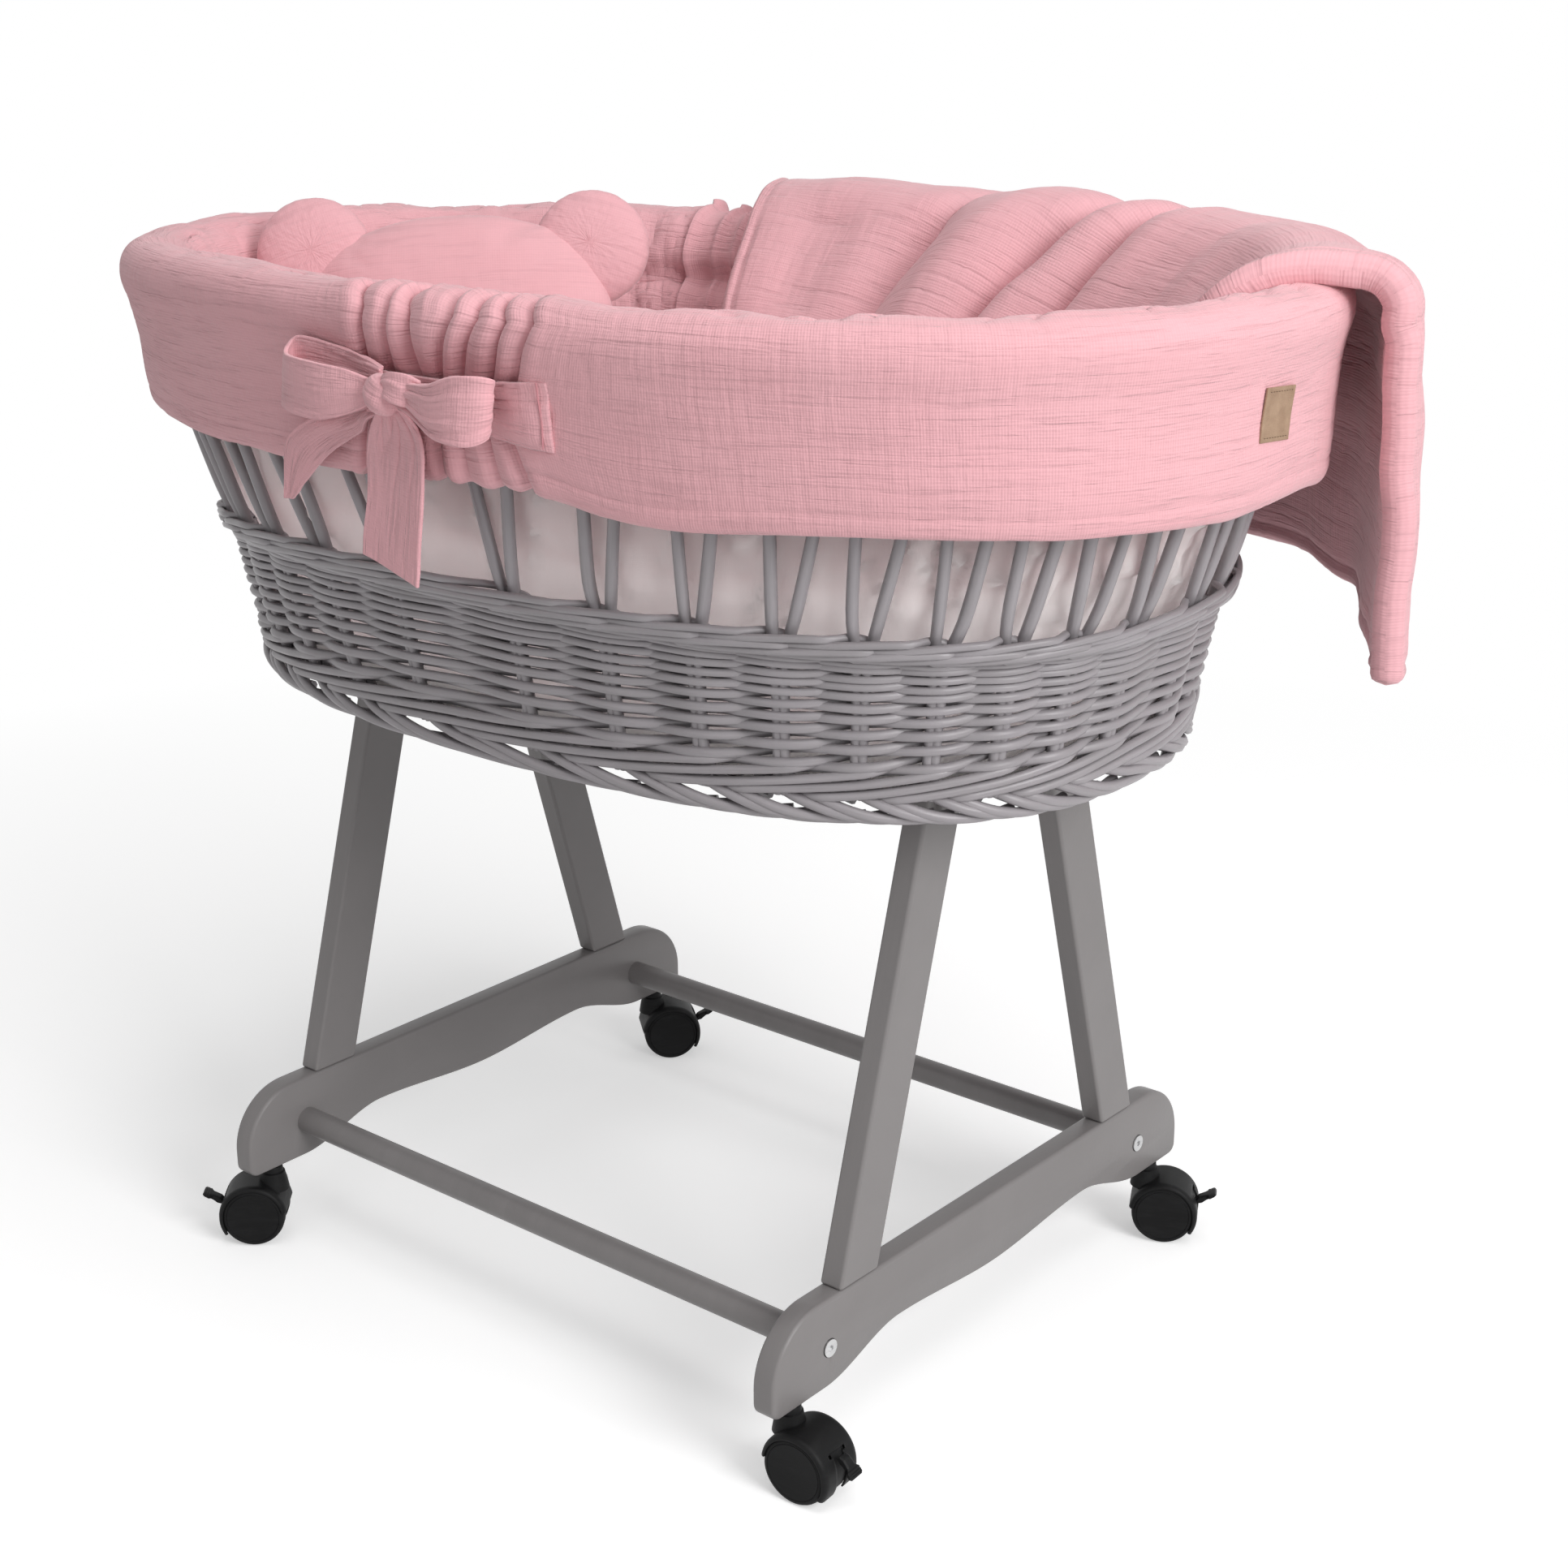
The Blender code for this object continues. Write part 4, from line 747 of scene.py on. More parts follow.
# the sections' edges beside the gathered panel: X at heights, on the front
EDGE_Z = (0.640, 0.670, 0.700, 0.725, 0.746, 0.757)
FOLDS = (                         # valleys of the gathered panel, from its left edge to its right
    (-0.0380, -0.0300, -0.0190, -0.0145, -0.0135, -0.0240),
    (-0.0140, -0.0080, 0.0040, 0.0085, 0.0115, 0.0086),
    (0.0120, 0.0180, 0.0300, 0.0270, 0.0255, 0.0176),
    (0.0340, 0.0370, 0.0450, 0.0555, 0.0655, 0.0606),
    (0.0580, 0.0560, 0.0620, 0.0730, 0.0840, 0.0800),
    (0.0820, 0.0780, 0.0850, 0.0970, 0.1063, 0.0969),
    (0.1090, 0.0995, 0.1060, 0.1185, 0.1305, 0.1207),
)
SMALL_FOLD = 4                    # index of the fold that stands out less than the others
BACK_MIDDLE = -0.130              # middle of the back's gathered panel, the front's mirrored
FRONT_MIDDLE = 0.050
COVER_FLAT = 0.0065               # thickness of the padded cloth
GATHER_FLAT = 0.0030              # and of the gathered cloth
RIM_SAG_HEAD, RIM_SAG_BACK = 0.005, 0.009
HEM_STITCH = 0.024                # height of the hem's stitching above its edge
SECTION_LIP = 0.009               # rounding of a section's ends
SASH_Z = 0.695                    # height where the sash presses the cover


def fold_x(index, z, outside, back):
    """X of a fold line on the cover at heights z."""
    at = np.where(outside, z, EDGE_Z[-1])
    x = np.interp(at, EDGE_Z, FOLDS[index])
    return BACK_MIDDLE - (x - FRONT_MIDDLE) if back else x


def cover_oval(z):
    """Half length and half width of the cover's outer face at heights below its roll."""
    rows = np.array(COVER_ROWS)[1:7]
    return np.interp(z, rows[:, 2], rows[:, 0]), np.interp(z, rows[:, 2], rows[:, 1])


def rim_sag(x, y, z):
    """How much lower the soft rim lies at the head end and along the far side."""
    sag = RIM_SAG_HEAD * np.clip(-x / 0.44, 0, 1) ** 2
    sag += RIM_SAG_BACK * np.clip(y / 0.26, 0, 1) * step(0.16, -0.06, x)
    return sag * step(0.66, 0.74, z)


def hem_lift(x, y):
    """The hem rises beside the gathers."""
    lift = np.zeros_like(x)
    front = (y < 0).astype(float)
    lift += front * 0.003 * np.where(x < FRONT_MIDDLE, hump(x, -0.035, 0.060), 0)
    lift += front * 0.008 * np.where(x >= FRONT_MIDDLE, hump(x, 0.105, 0.045), 0)
    lift += (1 - front) * 0.006 * hump(x, BACK_MIDDLE, 0.10)
    return lift


def build_cover_section(name, start, end, seed, replaces, edges):
    """A padded section. The edges are (fold index, on the back) at its start and end."""
    angles, run = even_angles(ROLL_OVAL, start, end, 0.0045)
    rows, v = spline(COVER_ROWS, 170)
    a, b, z = rows.T
    outside = v < v[np.argmax(z)]
    theta = angles[:, None] + np.zeros_like(z)[None]
    for (index, back), at, anchor in zip(edges, (run, run[-1] - run), (start, end)):
        x_edge = fold_x(index, z, outside, back)
        side = 1 if back else -1
        power = np.sign(x_edge) * (np.abs(x_edge) / a) ** (POWER / 2)
        angle = np.arccos(power) * side
        angle = angle + 2 * math.pi * np.round((anchor - angle) / (2 * math.pi))
        theta += (angle - anchor)[None] * np.exp(-(at / 0.060) ** 2)[:, None]
    x, y = oval_xy(a[None], b[None], theta)
    grid = np.stack([x, y, np.broadcast_to(z, x.shape)], -1)
    n = normals(grid)
    u2, v2 = spread(run, v)
    out2 = np.broadcast_to(outside, u2.shape)
    from_end = np.minimum(u2, run[-1] - u2)
    z2 = grid[..., 2].copy()
    height = gauze(u2, v2, seed)
    height += 0.0020 * lattice(u2 / 0.12, v2 / 0.06, seed + 7)
    # puckers where the roll's top and inside are drawn in, and the seam below them
    crest = hump(v2, v[np.argmax(z)] + 0.004, 0.014)
    height -= 0.0056 * creases(v2, u2, 0.050, 0.022, seed + 9, 0.42) * crest
    height += 0.0016 * lattice(u2 / 0.028, v2 / 0.030, seed + 12) * crest
    inner = step(0.010, 0.030, v2 - v[np.argmax(z)])
    height -= 0.0030 * creases(v2, u2, 0.034, 0.015, seed + 10, 0.5) * inner
    height += 0.0016 * lattice(u2 / 0.030, v2 / 0.024, seed + 11) * inner
    # rounded lip at each end, over the gathered panel
    lip = np.sqrt(np.clip(1 - (1 - np.clip(from_end / SECTION_LIP, 0, 1)) ** 2, 0, 1))
    height += 0.0034 * np.exp(-from_end / 0.022) * out2
    height -= 0.0080 * (1 - lip)
    # the hem is turned and stitched above its edge
    height -= 0.0009 * hump(v2, HEM_STITCH, 0.0020) * out2
    # the sash presses the panel and the sections' ends
    height -= 0.0030 * hump(z2, SASH_Z, 0.020) * np.exp(-from_end / 0.03) * out2
    grid = grid + n * height[..., None]
    lift = hem_lift(grid[..., 0], grid[..., 1]) + 0.0022 * lattice(u2 / 0.09, v2 * 0, seed + 8)
    grid[..., 2] += lift * step(0.735, 0.640, z2) * out2
    grid[..., 2] -= rim_sag(grid[..., 0], grid[..., 1], z2)
    obj = sheet_piece(name, grid, run, v, MUSLIN)
    thicken(obj, COVER_FLAT, 0.0)
    fix_normals(obj)
    ride(obj, replaces=replaces)


def build_gather(name, seed, replaces, back):
    """Gathered panel: folds that the sash draws together, with a free hem."""
    per_fold, tuck = 22, 0.12         # grid lines to a fold, and what lies under the sections
    last = len(FOLDS) - 1
    q = np.linspace(-tuck, last + tuck, per_fold * last + 1)
    rows, v = spline(COVER_ROWS, 150)
    a, b, z = rows.T
    top = v[np.argmax(z)]
    outside = v < top
    lines = np.stack([fold_x(i, z, outside, back) for i in range(len(FOLDS))])
    x = np.empty((len(q), len(z)))
    for j in range(len(z)):
        x[:, j] = np.interp(q, np.arange(len(FOLDS)), lines[:, j])
        x[:, j] += np.minimum(q, 0) * (lines[1, j] - lines[0, j])
        x[:, j] += np.maximum(q - last, 0) * (lines[-1, j] - lines[-2, j])
    y = oval_y(a[None], b[None], x) * (1 if back else -1)
    grid = np.stack([x, y, np.broadcast_to(z, x.shape)], -1)
    n = normals(grid)
    if back:
        n = -n
    run = run_along(grid[:, 60])
    u2, v2 = spread(run, v)
    z2 = grid[..., 2].copy()
    out2 = np.broadcast_to(outside, u2.shape)
    t = np.clip(spread(q, v)[0], 0, last - 0.0001)
    index = np.floor(t).astype(int)
    t = t - index
    skew = 0.60 - 0.15 * (index % 2)
    t = np.where(t < skew, t / skew * 0.5, 0.5 + (t - skew) / (1 - skew) * 0.5)
    ridge = np.clip(np.sin(math.pi * t), 0, 1)
    hang = step(0.682, 0.655, z2) * out2
    ridge = ridge ** (0.60 + 0.55 * hang)
    sash = hump(z2, SASH_Z + 0.002, 0.017) * out2
    minor = np.where(index == SMALL_FOLD, 0.75, 1.0)
    depth = np.where(out2, 0.0110 - 0.0070 * sash - 0.0055 * hang, 0.0060) * minor
    depth *= 1 + 0.10 * lattice(index * 1.7 + 0.3, v2 / 0.09, seed + 3)
    depth *= 0.25 + 0.75 * step(0.0, 0.016, v2)
    height = (ridge - 0.72) * depth - 0.0030 * sash
    height += 0.0005 * lattice(u2 / 0.006, v2 / 0.05, seed + 6) + gauze(v2, u2, seed, 0.15)
    grid = grid + n * height[..., None]
    lift = 0.002 + 0.012 * np.clip((u2 / run[-1] - 0.25), 0, 1) * (0 if back else 1)
    lift = lift + 0.0015 * lattice(u2 / 0.04, v2 * 0, seed + 5)
    grid[..., 2] += lift * step(0.735, 0.640, z2) * out2
    grid[..., 2] -= rim_sag(grid[..., 0], grid[..., 1], z2)
    obj = sheet_piece(name, grid, run, v, MUSLIN)
    fix_normals(obj)
    thicken(obj, GATHER_FLAT, 0.0)
    ride(obj, replaces=replaces)


def build_cover():
    """Two padded sections, and the gathered panels between them on both long sides."""
    full = 2 * math.pi
    last = len(FOLDS) - 1
    mid = EDGE_Z.index(0.725)
    front = [angle_at(ROLL_OVAL, FOLDS[i][mid], -1) % full for i in (0, last)]
    back_x = [BACK_MIDDLE - (FOLDS[i][mid] - FRONT_MIDDLE) for i in (0, last)]
    back = [angle_at(ROLL_OVAL, x, 1) for x in back_x]
    build_cover_section("cover_head_end_cloth", back[1], front[0], 101, ["cover_head_end"],
                        ((last, True), (0, False)))
    build_cover_section("cover_foot_end_cloth", front[1], back[0] + full, 202,
                        ["cover_foot_end"], ((last, False), (0, True)))
    build_gather("front_gather_cloth", 303, ["front_gather"], False)
    build_gather("back_gather_cloth", 404, ["back_gather"], True)


# ------------------------------------------------------------------ lining and mattress
# section of the lining from its seam in the base up to the border: metres in from the wickerwork,
# and height
LINING_ROWS = ((-0.060, 0.4625), (-0.030, 0.4622), (-0.0225, 0.4680), (-0.0205, 0.5000),
               (-0.0200, 0.5560), (-0.0160, 0.5920), (-0.0150, 0.6500), (-0.0165, 0.6980))
LINING_FLAT = 0.0012
QUILTING = 0.07                   # diagonal pitch of the mattress's stitching


def build_lining():
    """Thin cotton lining that hangs inside the wickerwork, loose in the open band."""
    angles, run = even_angles(WAIST_OVAL, 0, 2 * math.pi, 0.006)
    angles, run = angles[:-1], run[:-1]
    rows, v = spline(LINING_ROWS, 60)
    a, b = wicker_oval(rows[:, 1])
    x, y = oval_xy((a + rows[:, 0])[None], (b + rows[:, 0])[None], angles[:, None])
    grid = np.stack([x, y, np.broadcast_to(rows[:, 1], x.shape)], -1)
    n = normals(grid, wrap=True)
    u2, v2 = spread(run, v)
    length = run[-1] + run[1]
    sway = 0.35 * lattice(v2 / 0.05, u2 / length * 6, 61)
    turn = u2 / length * 2 * math.pi
    ripple = np.zeros_like(u2)
    for k, (count, size) in enumerate(((29, 0.40), (43, 0.30), (67, 0.16), (17, 0.25))):
        ripple += size * np.sin(turn * count + sway * (2 + k) * 3.0 + k * 1.9)
    drape = creases(v2 + 0.35 * u2, u2 - 0.25 * v2, 0.090, 0.022, 65, 0.26)
    drape += 0.8 * creases(v2 - 0.45 * u2, u2 + 0.35 * v2, 0.070, 0.028, 67, 0.24)
    free = step(0.550, 0.590, grid[..., 2])
    height = free * (0.0034 * ripple + 0.0085 * drape) + 0.0006 * ripple
    grid = grid + n * height[..., None]
    obj = sheet_piece("cotton_lining", grid, run, v, BRIGHTENED_COTTON_LINING, wrap=True)
    thicken(obj, LINING_FLAT, 0.0)
    ride(obj, replaces=["lining"])


def build_mattress():
    """Crowned pad with diagonal stitching on its top."""
    low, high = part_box("mattress")
    a, b = high.x, high.y
    z0, z1 = low.z, high.z
    mid = (z0 + z1) / 2
    # share of the half length and half width, and height
    rows = [(0.02, z0), (0.55, z0), (0.90, z0 + 0.001), (0.975, z0 + 0.004), (0.995, z0 + 0.012),
            (1.0, mid), (0.995, z1 - 0.012), (0.975, z1 - 0.003), (0.90, z1 + 0.0005),
            (0.55, z1 + 0.003), (0.02, z1 + 0.003)]
    rows, v = spline(rows, 90)
    angles, run = even_angles((a, b), 0, 2 * math.pi, 0.008)
    angles, run = angles[:-1], run[:-1]
    x, y = oval_xy(a * rows[None, :, 0], b * rows[None, :, 0], angles[:, None])
    grid = np.stack([x, y, np.broadcast_to(rows[:, 1], x.shape)], -1)
    puffs = np.abs(np.sin(math.pi * (x + y) / QUILTING)
                   * np.sin(math.pi * (x - y) / QUILTING)) ** 0.4
    grid[..., 2] += (grid[..., 2] > mid + 0.015) * (puffs - 1) * 0.0018
    obj = sheet_piece("mattress_pad", grid, run, v, COTTON, wrap=True)
    fix_normals(obj, close=True)
    ride(obj, replaces=["mattress"])


# ------------------------------------------------------------------ bow and tag
KNOT_AT, KNOT_RADII, KNOT_TILT = (0.0205, -0.3035, 0.6980), (0.0132, 0.0105, 0.0122), 0.35
SASH_START, SASH_END = -0.050, 0.1367                # X of its two ends
# the sash's upper and lower edges: X, and height there
SASH_TOP = ((-0.05, 0.05, 0.095, SASH_END), (0.709, 0.708, 0.7105, 0.7142))
SASH_LOW = ((-0.05, 0.05, 0.090, 0.1337), (0.686, 0.683, 0.6775, 0.6722))
SASH_FLAT = (0.205, 0.042)
SASH_SEAM_X, SASH_SEAM_Z = 0.1290, (0.6745, 0.7140)
TAG_THICK, TAG_BACK, TAG_TILT = 0.0014, 0.006, math.radians(-4)
STITCHES, STITCH_PITCH, STITCH_Y, STITCH_Z = 9, 0.0031, -0.0135, 0.0134
STITCH_SHAPE = ((0, -0.0006), (0.0006, 0.0003), (0.0015, 0.0003), (0.0021, -0.0006))


def strip_grid(pairs, along, across):
    """Grid of a strip between two edge lines given as pairs of points."""
    left, _ = spline([p[0] for p in pairs], along)
    right, _ = spline([p[1] for p in pairs], along)
    w = np.linspace(0, 1, across)[None, :, None]
    return left[:, None] * (1 - w) + right[:, None] * w


def build_ribbon(name, pairs, pleats, replaces, seed, fade, deep=0.0016, along=110, across=44,
                 thickness=0.0028, curl=0.0):
    """A doubled ribbon with pleats that run out of the knot and fade."""
    grid = strip_grid(pairs, along, across)
    n = normals(grid)
    run = run_along(grid[:, across // 2])
    width = np.linalg.norm(grid[:, -1] - grid[:, 0], axis=1)
    w = np.linspace(0, 1, across)
    u2, w2 = spread(run, w)
    strength = np.interp(run / run[-1], [f[0] for f in fade], [f[1] for f in fade])[:, None]
    wander = 0.05 * lattice(u2 / 0.03, w2 * 2, seed)
    fold = creases(u2, (w2 + wander) * 0.06, 0.10, 0.06 / pleats, seed + 1, 0.45)
    soft = lattice(u2 / 0.035, (w2 + wander) * pleats * 0.7, seed + 2)
    height = -deep * 1.5 * fold * strength + deep * 0.8 * soft * strength
    height += 0.5 * gauze(u2, w2 * 0.045, seed + 3)
    height += curl * (1 - (2 * w2 - 1) ** 2) * (0.4 + 0.6 * strength)
    grid = grid + n * height[..., None]
    flat_width = round(float(np.percentile(width, 90)), 3)
    obj = sheet_piece(name, grid, run, w * flat_width, MUSLIN_RIBBON)
    thicken(obj, thickness, 0.0)
    soften = obj.modifiers.new("rounding", "SUBSURF")
    soften.levels = soften.render_levels = 1
    ride(obj, replaces=replaces)


def build_bow():
    """Two loops, two tails and a wrap, each from pairs of points on its two edges."""
    build_ribbon("bow_left_loop", [
        ((0.013, -0.303, 0.7052), (0.013, -0.303, 0.6930)),
        ((-0.006, -0.309, 0.7110), (-0.005, -0.309, 0.6845)),
        ((-0.031, -0.312, 0.7133), (-0.029, -0.312, 0.6785)),
        ((-0.055, -0.309, 0.7142), (-0.057, -0.309, 0.6792)),
        ((-0.0670, -0.3035, 0.7150), (-0.0725, -0.303, 0.6812)),
        ((-0.0700, -0.298, 0.7195), (-0.0745, -0.2975, 0.684)),
        ((-0.0655, -0.2925, 0.7240), (-0.069, -0.293, 0.687)),
        ((-0.0325, -0.2905, 0.7205), (-0.033, -0.2915, 0.688)),
        ((-0.0040, -0.293, 0.7165), (-0.004, -0.293, 0.690)),
        ((0.015, -0.297, 0.7130), (0.014, -0.297, 0.697))],
        5, ["bow_loop_left"], 501, ((0, 1), (0.22, 0.75), (0.42, 0.25), (0.6, 0.3), (1, 1)))
    build_ribbon("bow_right_loop", [
        ((0.030, -0.303, 0.7060), (0.030, -0.303, 0.6930)),
        ((0.046, -0.306, 0.7078), (0.046, -0.306, 0.6885)),
        ((0.070, -0.311, 0.7100), (0.068, -0.311, 0.6790)),
        ((0.090, -0.312, 0.7168), (0.088, -0.312, 0.6768)),
        ((0.1045, -0.308, 0.7182), (0.0990, -0.308, 0.6765)),
        ((0.1100, -0.301, 0.7165), (0.1040, -0.301, 0.6800)),
        ((0.1040, -0.295, 0.7135), (0.0980, -0.295, 0.6840)),
        ((0.080, -0.2935, 0.7100), (0.078, -0.2935, 0.6860)),
        ((0.045, -0.296, 0.7060), (0.045, -0.296, 0.6920)),
        ((0.030, -0.298, 0.7040), (0.030, -0.298, 0.6940))],
        6, ["bow_loop_right"], 502, ((0, 1), (0.25, 0.8), (0.42, 0.45), (0.6, 0.3), (1, 1)))
    build_ribbon("bow_left_tail", [
        ((0.014, -0.299, 0.6930), (0.016, -0.299, 0.6860)),
        ((-0.004, -0.297, 0.6885), (0.000, -0.297, 0.6800)),
        ((-0.034, -0.293, 0.6800), (-0.010, -0.293, 0.6715)),
        ((-0.064, -0.2905, 0.6722), (-0.024, -0.290, 0.6650)),
        ((-0.087, -0.289, 0.6590), (-0.045, -0.288, 0.6545)),
        ((-0.0945, -0.287, 0.6450), (-0.0600, -0.286, 0.6450)),
        ((-0.0970, -0.286, 0.6310), (-0.0770, -0.285, 0.6310)),
        ((-0.1000, -0.285, 0.6165), (-0.0930, -0.284, 0.6165))],
        4, ["bow_tail_left"], 503, ((0, 1), (0.3, 0.8), (0.7, 0.35), (1, 0.15)),
        thickness=0.0026)
    build_ribbon("bow_right_tail", [
        ((0.016, -0.303, 0.6920), (0.028, -0.303, 0.6925)),
        ((0.0085, -0.301, 0.6840), (0.0370, -0.300, 0.6840)),
        ((0.0000, -0.298, 0.6720), (0.0432, -0.297, 0.6740)),
        ((-0.0058, -0.295, 0.6580), (0.0442, -0.295, 0.6620)),
        ((-0.0110, -0.292, 0.6330), (0.0392, -0.2925, 0.6370)),
        ((-0.0178, -0.291, 0.6100), (0.0340, -0.2915, 0.6080)),
        ((-0.0215, -0.290, 0.5925), (0.0293, -0.291, 0.5785))],
        5, ["bow_tail_right"], 504, ((0, 1), (0.3, 0.7), (0.6, 0.25), (1, 0.12)),
        thickness=0.0026, curl=-0.002)
    build_ribbon("bow_wrap", [
        ((0.024, -0.305, 0.7085), (0.027, -0.309, 0.6990)),
        ((0.031, -0.308, 0.7125), (0.033, -0.311, 0.6975)),
        ((0.040, -0.309, 0.7140), (0.040, -0.311, 0.6950)),
        ((0.049, -0.307, 0.7125), (0.046, -0.308, 0.6935)),
        ((0.054, -0.303, 0.7090), (0.050, -0.303, 0.6930))],
        4, (), 505, ((0, 1), (1, 1)), deep=0.0014, along=40, across=30, thickness=0.003)


def build_knot():
    """Cloth wrapped round the bow's crossing."""
    turn, rise = np.linspace(0, 2 * math.pi, 72, endpoint=False), np.linspace(-1, 1, 44)
    t2, h2 = spread(turn, rise)
    ring = np.clip(1 - np.abs(h2) ** 2.4, 0, 1) ** 0.46
    wrap = 1 - 0.07 * creases(t2 * 0.02, h2 * 0.02, 0.05, 0.009, 77, 0.5) \
        + 0.02 * np.sin(6 * h2 + 2 * t2)
    shape = np.stack([np.cos(t2) * ring * wrap, np.sin(t2) * ring * wrap, h2], -1)
    tilt = np.array(Matrix.Rotation(KNOT_TILT, 3, "Y"))
    grid = shape * np.array(KNOT_RADII) @ tilt.T + np.array(KNOT_AT)
    knot = sheet_piece("bow_middle_knot", grid, turn * 0.012, rise * 0.012, MUSLIN_RIBBON,
                       wrap=True)
    ride(knot, replaces=["bow_knot"])


def build_sash():
    """Sash from under the bow's loops to its stitched end."""
    x = np.linspace(SASH_START, SASH_END, 90)
    w = np.linspace(0, 1, 30)
    top, low = np.interp(x, *SASH_TOP), np.interp(x, *SASH_LOW)
    z = low[:, None] * (1 - w)[None] + top[:, None] * w[None]
    x2 = x[:, None] - 0.0030 * (1 - w)[None] * step(0.08, SASH_END, x)[:, None]
    pleat = creases(x2, z, 0.10, 0.007, 91, 0.4) * (1 - 0.75 * step(0.09, SASH_END, x2))
    y = -oval_y(*cover_oval(z), x2)
    y += 0.0020 * step(0.120, SASH_END, x2) - 0.0052 + 0.0022 * pleat
    y -= 0.0012 * lattice(x2 / 0.04, z / 0.012, 92) + 0.0018 * hump(x2, 0.118, 0.02)
    grid = np.stack([x2, y, z], -1)
    sash = sheet_piece("bow_sash", grid, x, w * SASH_FLAT[1], MUSLIN_RIBBON)
    fix_normals(sash)
    thicken(sash, 0.0024, 0.0)
    ride(sash, replaces=["bow_band"])
    z = np.linspace(*SASH_SEAM_Z, 12)
    x = SASH_SEAM_X + (z - SASH_SEAM_Z[0]) * 0.075
    seam = np.stack([x, -oval_y(*cover_oval(z), x) - 0.0075, z], -1)
    ride(rods("bow_sash_stitching", [(seam, 0.0006)], PINK_THREAD, 6))


def build_label():
    """Blank leather tag with bevelled edges and stitches along its upper and lower edges."""
    low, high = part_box("side_label")
    turn = (Matrix.Translation((low + high) / 2 + Vector((0, TAG_BACK, 0)))
            @ Matrix.Rotation(TAG_TILT, 4, "X"))
    cells = 24
    y = np.linspace(-1, 1, cells) * (high.y - low.y) / 2
    z = np.linspace(-1, 1, cells) * (high.z - low.z) / 2

    def on_cover(y, z, out):
        """Point of the tag's plane moved onto the cover's outer face, and out from it."""
        p = turn @ Vector((0, y, z))
        a, b = cover_oval(p.z)
        p.x = float(oval_y(b, a, p.y)) + COVER_FLAT / 2 + out
        return tuple(p)

    grid = np.array([[on_cover(yi, zi, TAG_THICK) for zi in z] for yi in y])
    tag = sheet_piece("leather_tag", grid, y, z, LEATHER)
    thicken(tag, TAG_THICK, 0.0)
    bevel = tag.modifiers.new("bevel", "BEVEL")
    bevel.width, bevel.segments, bevel.limit_method = 0.0003, 2, "ANGLE"
    ride(tag, replaces=["side_label"])
    stitches = []
    for edge in (-1, 1):
        for k in range(STITCHES):
            start = STITCH_Y + k * STITCH_PITCH
            points = [on_cover(start + along, edge * STITCH_Z, 1.5 * TAG_THICK + out)
                      for along, out in STITCH_SHAPE]
            stitches.append((np.array(points), 0.00022))
    ride(rods("leather_tag_stitching", stitches, TAN_THREAD, 5))


# ------------------------------------------------------------------ pillow
PILLOW_PLACE = (-0.242, 0.001)
PILLOW_LEAN, PILLOW_TURN, PILLOW_ROLL = math.radians(20), math.radians(40), math.radians(-3)
HEAD_HALF_WIDE, HEAD_HALF_HIGH, HEAD_THICK, HEAD_POWER = 0.123, 0.119, 0.034, 2.8
EAR_RADIUS, EAR_THICK, EAR_PLACE, EAR_TURN = 0.044, 0.017, (0.105, 0.006, 0.096), 0.3


def inflate(obj, pressure=2.6, frames=16, stiffness=14.0):
    """Blow up a closed cloth shell so that its seams pucker, and keep the result."""
    cloth = obj.modifiers.new("cloth", "CLOTH")
    s = cloth.settings
    s.quality = 5
    s.mass = 0.25
    s.tension_stiffness = s.compression_stiffness = stiffness
    s.shear_stiffness = 5.0
    s.bending_stiffness = 1.5
    s.use_pressure = True
    s.uniform_pressure_force = pressure
    s.effector_weights.gravity = 0.0
    cloth.point_cache.frame_start, cloth.point_cache.frame_end = 1, frames
    scene = bpy.context.scene
    scene.frame_start, scene.frame_end = 1, frames
    for frame_number in range(1, frames + 1):
        scene.frame_set(frame_number)
    shape = obj.evaluated_get(bpy.context.evaluated_depsgraph_get())
    done = bpy.data.meshes.new_from_object(shape)
    obj.modifiers.remove(cloth)
    obj.data = done
    done.shade_smooth()
    scene.frame_set(1)


def cushion(name, outline, thickness, rings=20, sectors=110, crown=0.5):
    """A sewn cushion in the XZ plane, facing -Y: two sheets joined along an outline."""
    angles = np.linspace(0, 2 * math.pi, sectors, endpoint=False)
    edge = outline(angles)
    shares = 1 - (1 - np.linspace(0, 1, rings + 1)) ** 1.25
    verts, faces, uvs = [], [], []
    rows = {}
    for side in (-1, 1):
        for i, share in enumerate(shares):
            if i == rings and side == 1:
                rows[side, i] = rows[-1, i]
                continue
            start = len(verts)
            if i == 0:
                verts.append((edge[:, 0].mean(), side * thickness, edge[:, 1].mean()))
                rows[side, i] = [start] * sectors
                continue
            bulge = (1 - share ** 2.6) ** crown if i < rings else 0.0
            x = edge[:, 0].mean() + (edge[:, 0] - edge[:, 0].mean()) * share
            z = edge[:, 1].mean() + (edge[:, 1] - edge[:, 1].mean()) * share
            verts += [(a, side * thickness * bulge, b) for a, b in zip(x, z)]
            rows[side, i] = list(range(start, start + sectors))
    for side in (-1, 1):
        for i in range(rings):
            for k in range(sectors):
                m = (k + 1) % sectors
                ids = [rows[side, i][k], rows[side, i][m], rows[side, i + 1][m],
                       rows[side, i + 1][k]]
                ids = ids[1:] if i == 0 else ids
                if side == -1:
                    ids = ids[::-1]
                faces.append(ids)
                uvs += [(verts[v][0] + (0.5 if side == 1 else 0), verts[v][2]) for v in ids]
    return piece_from(name, verts, faces, MUSLIN_PILLOW, uvs)


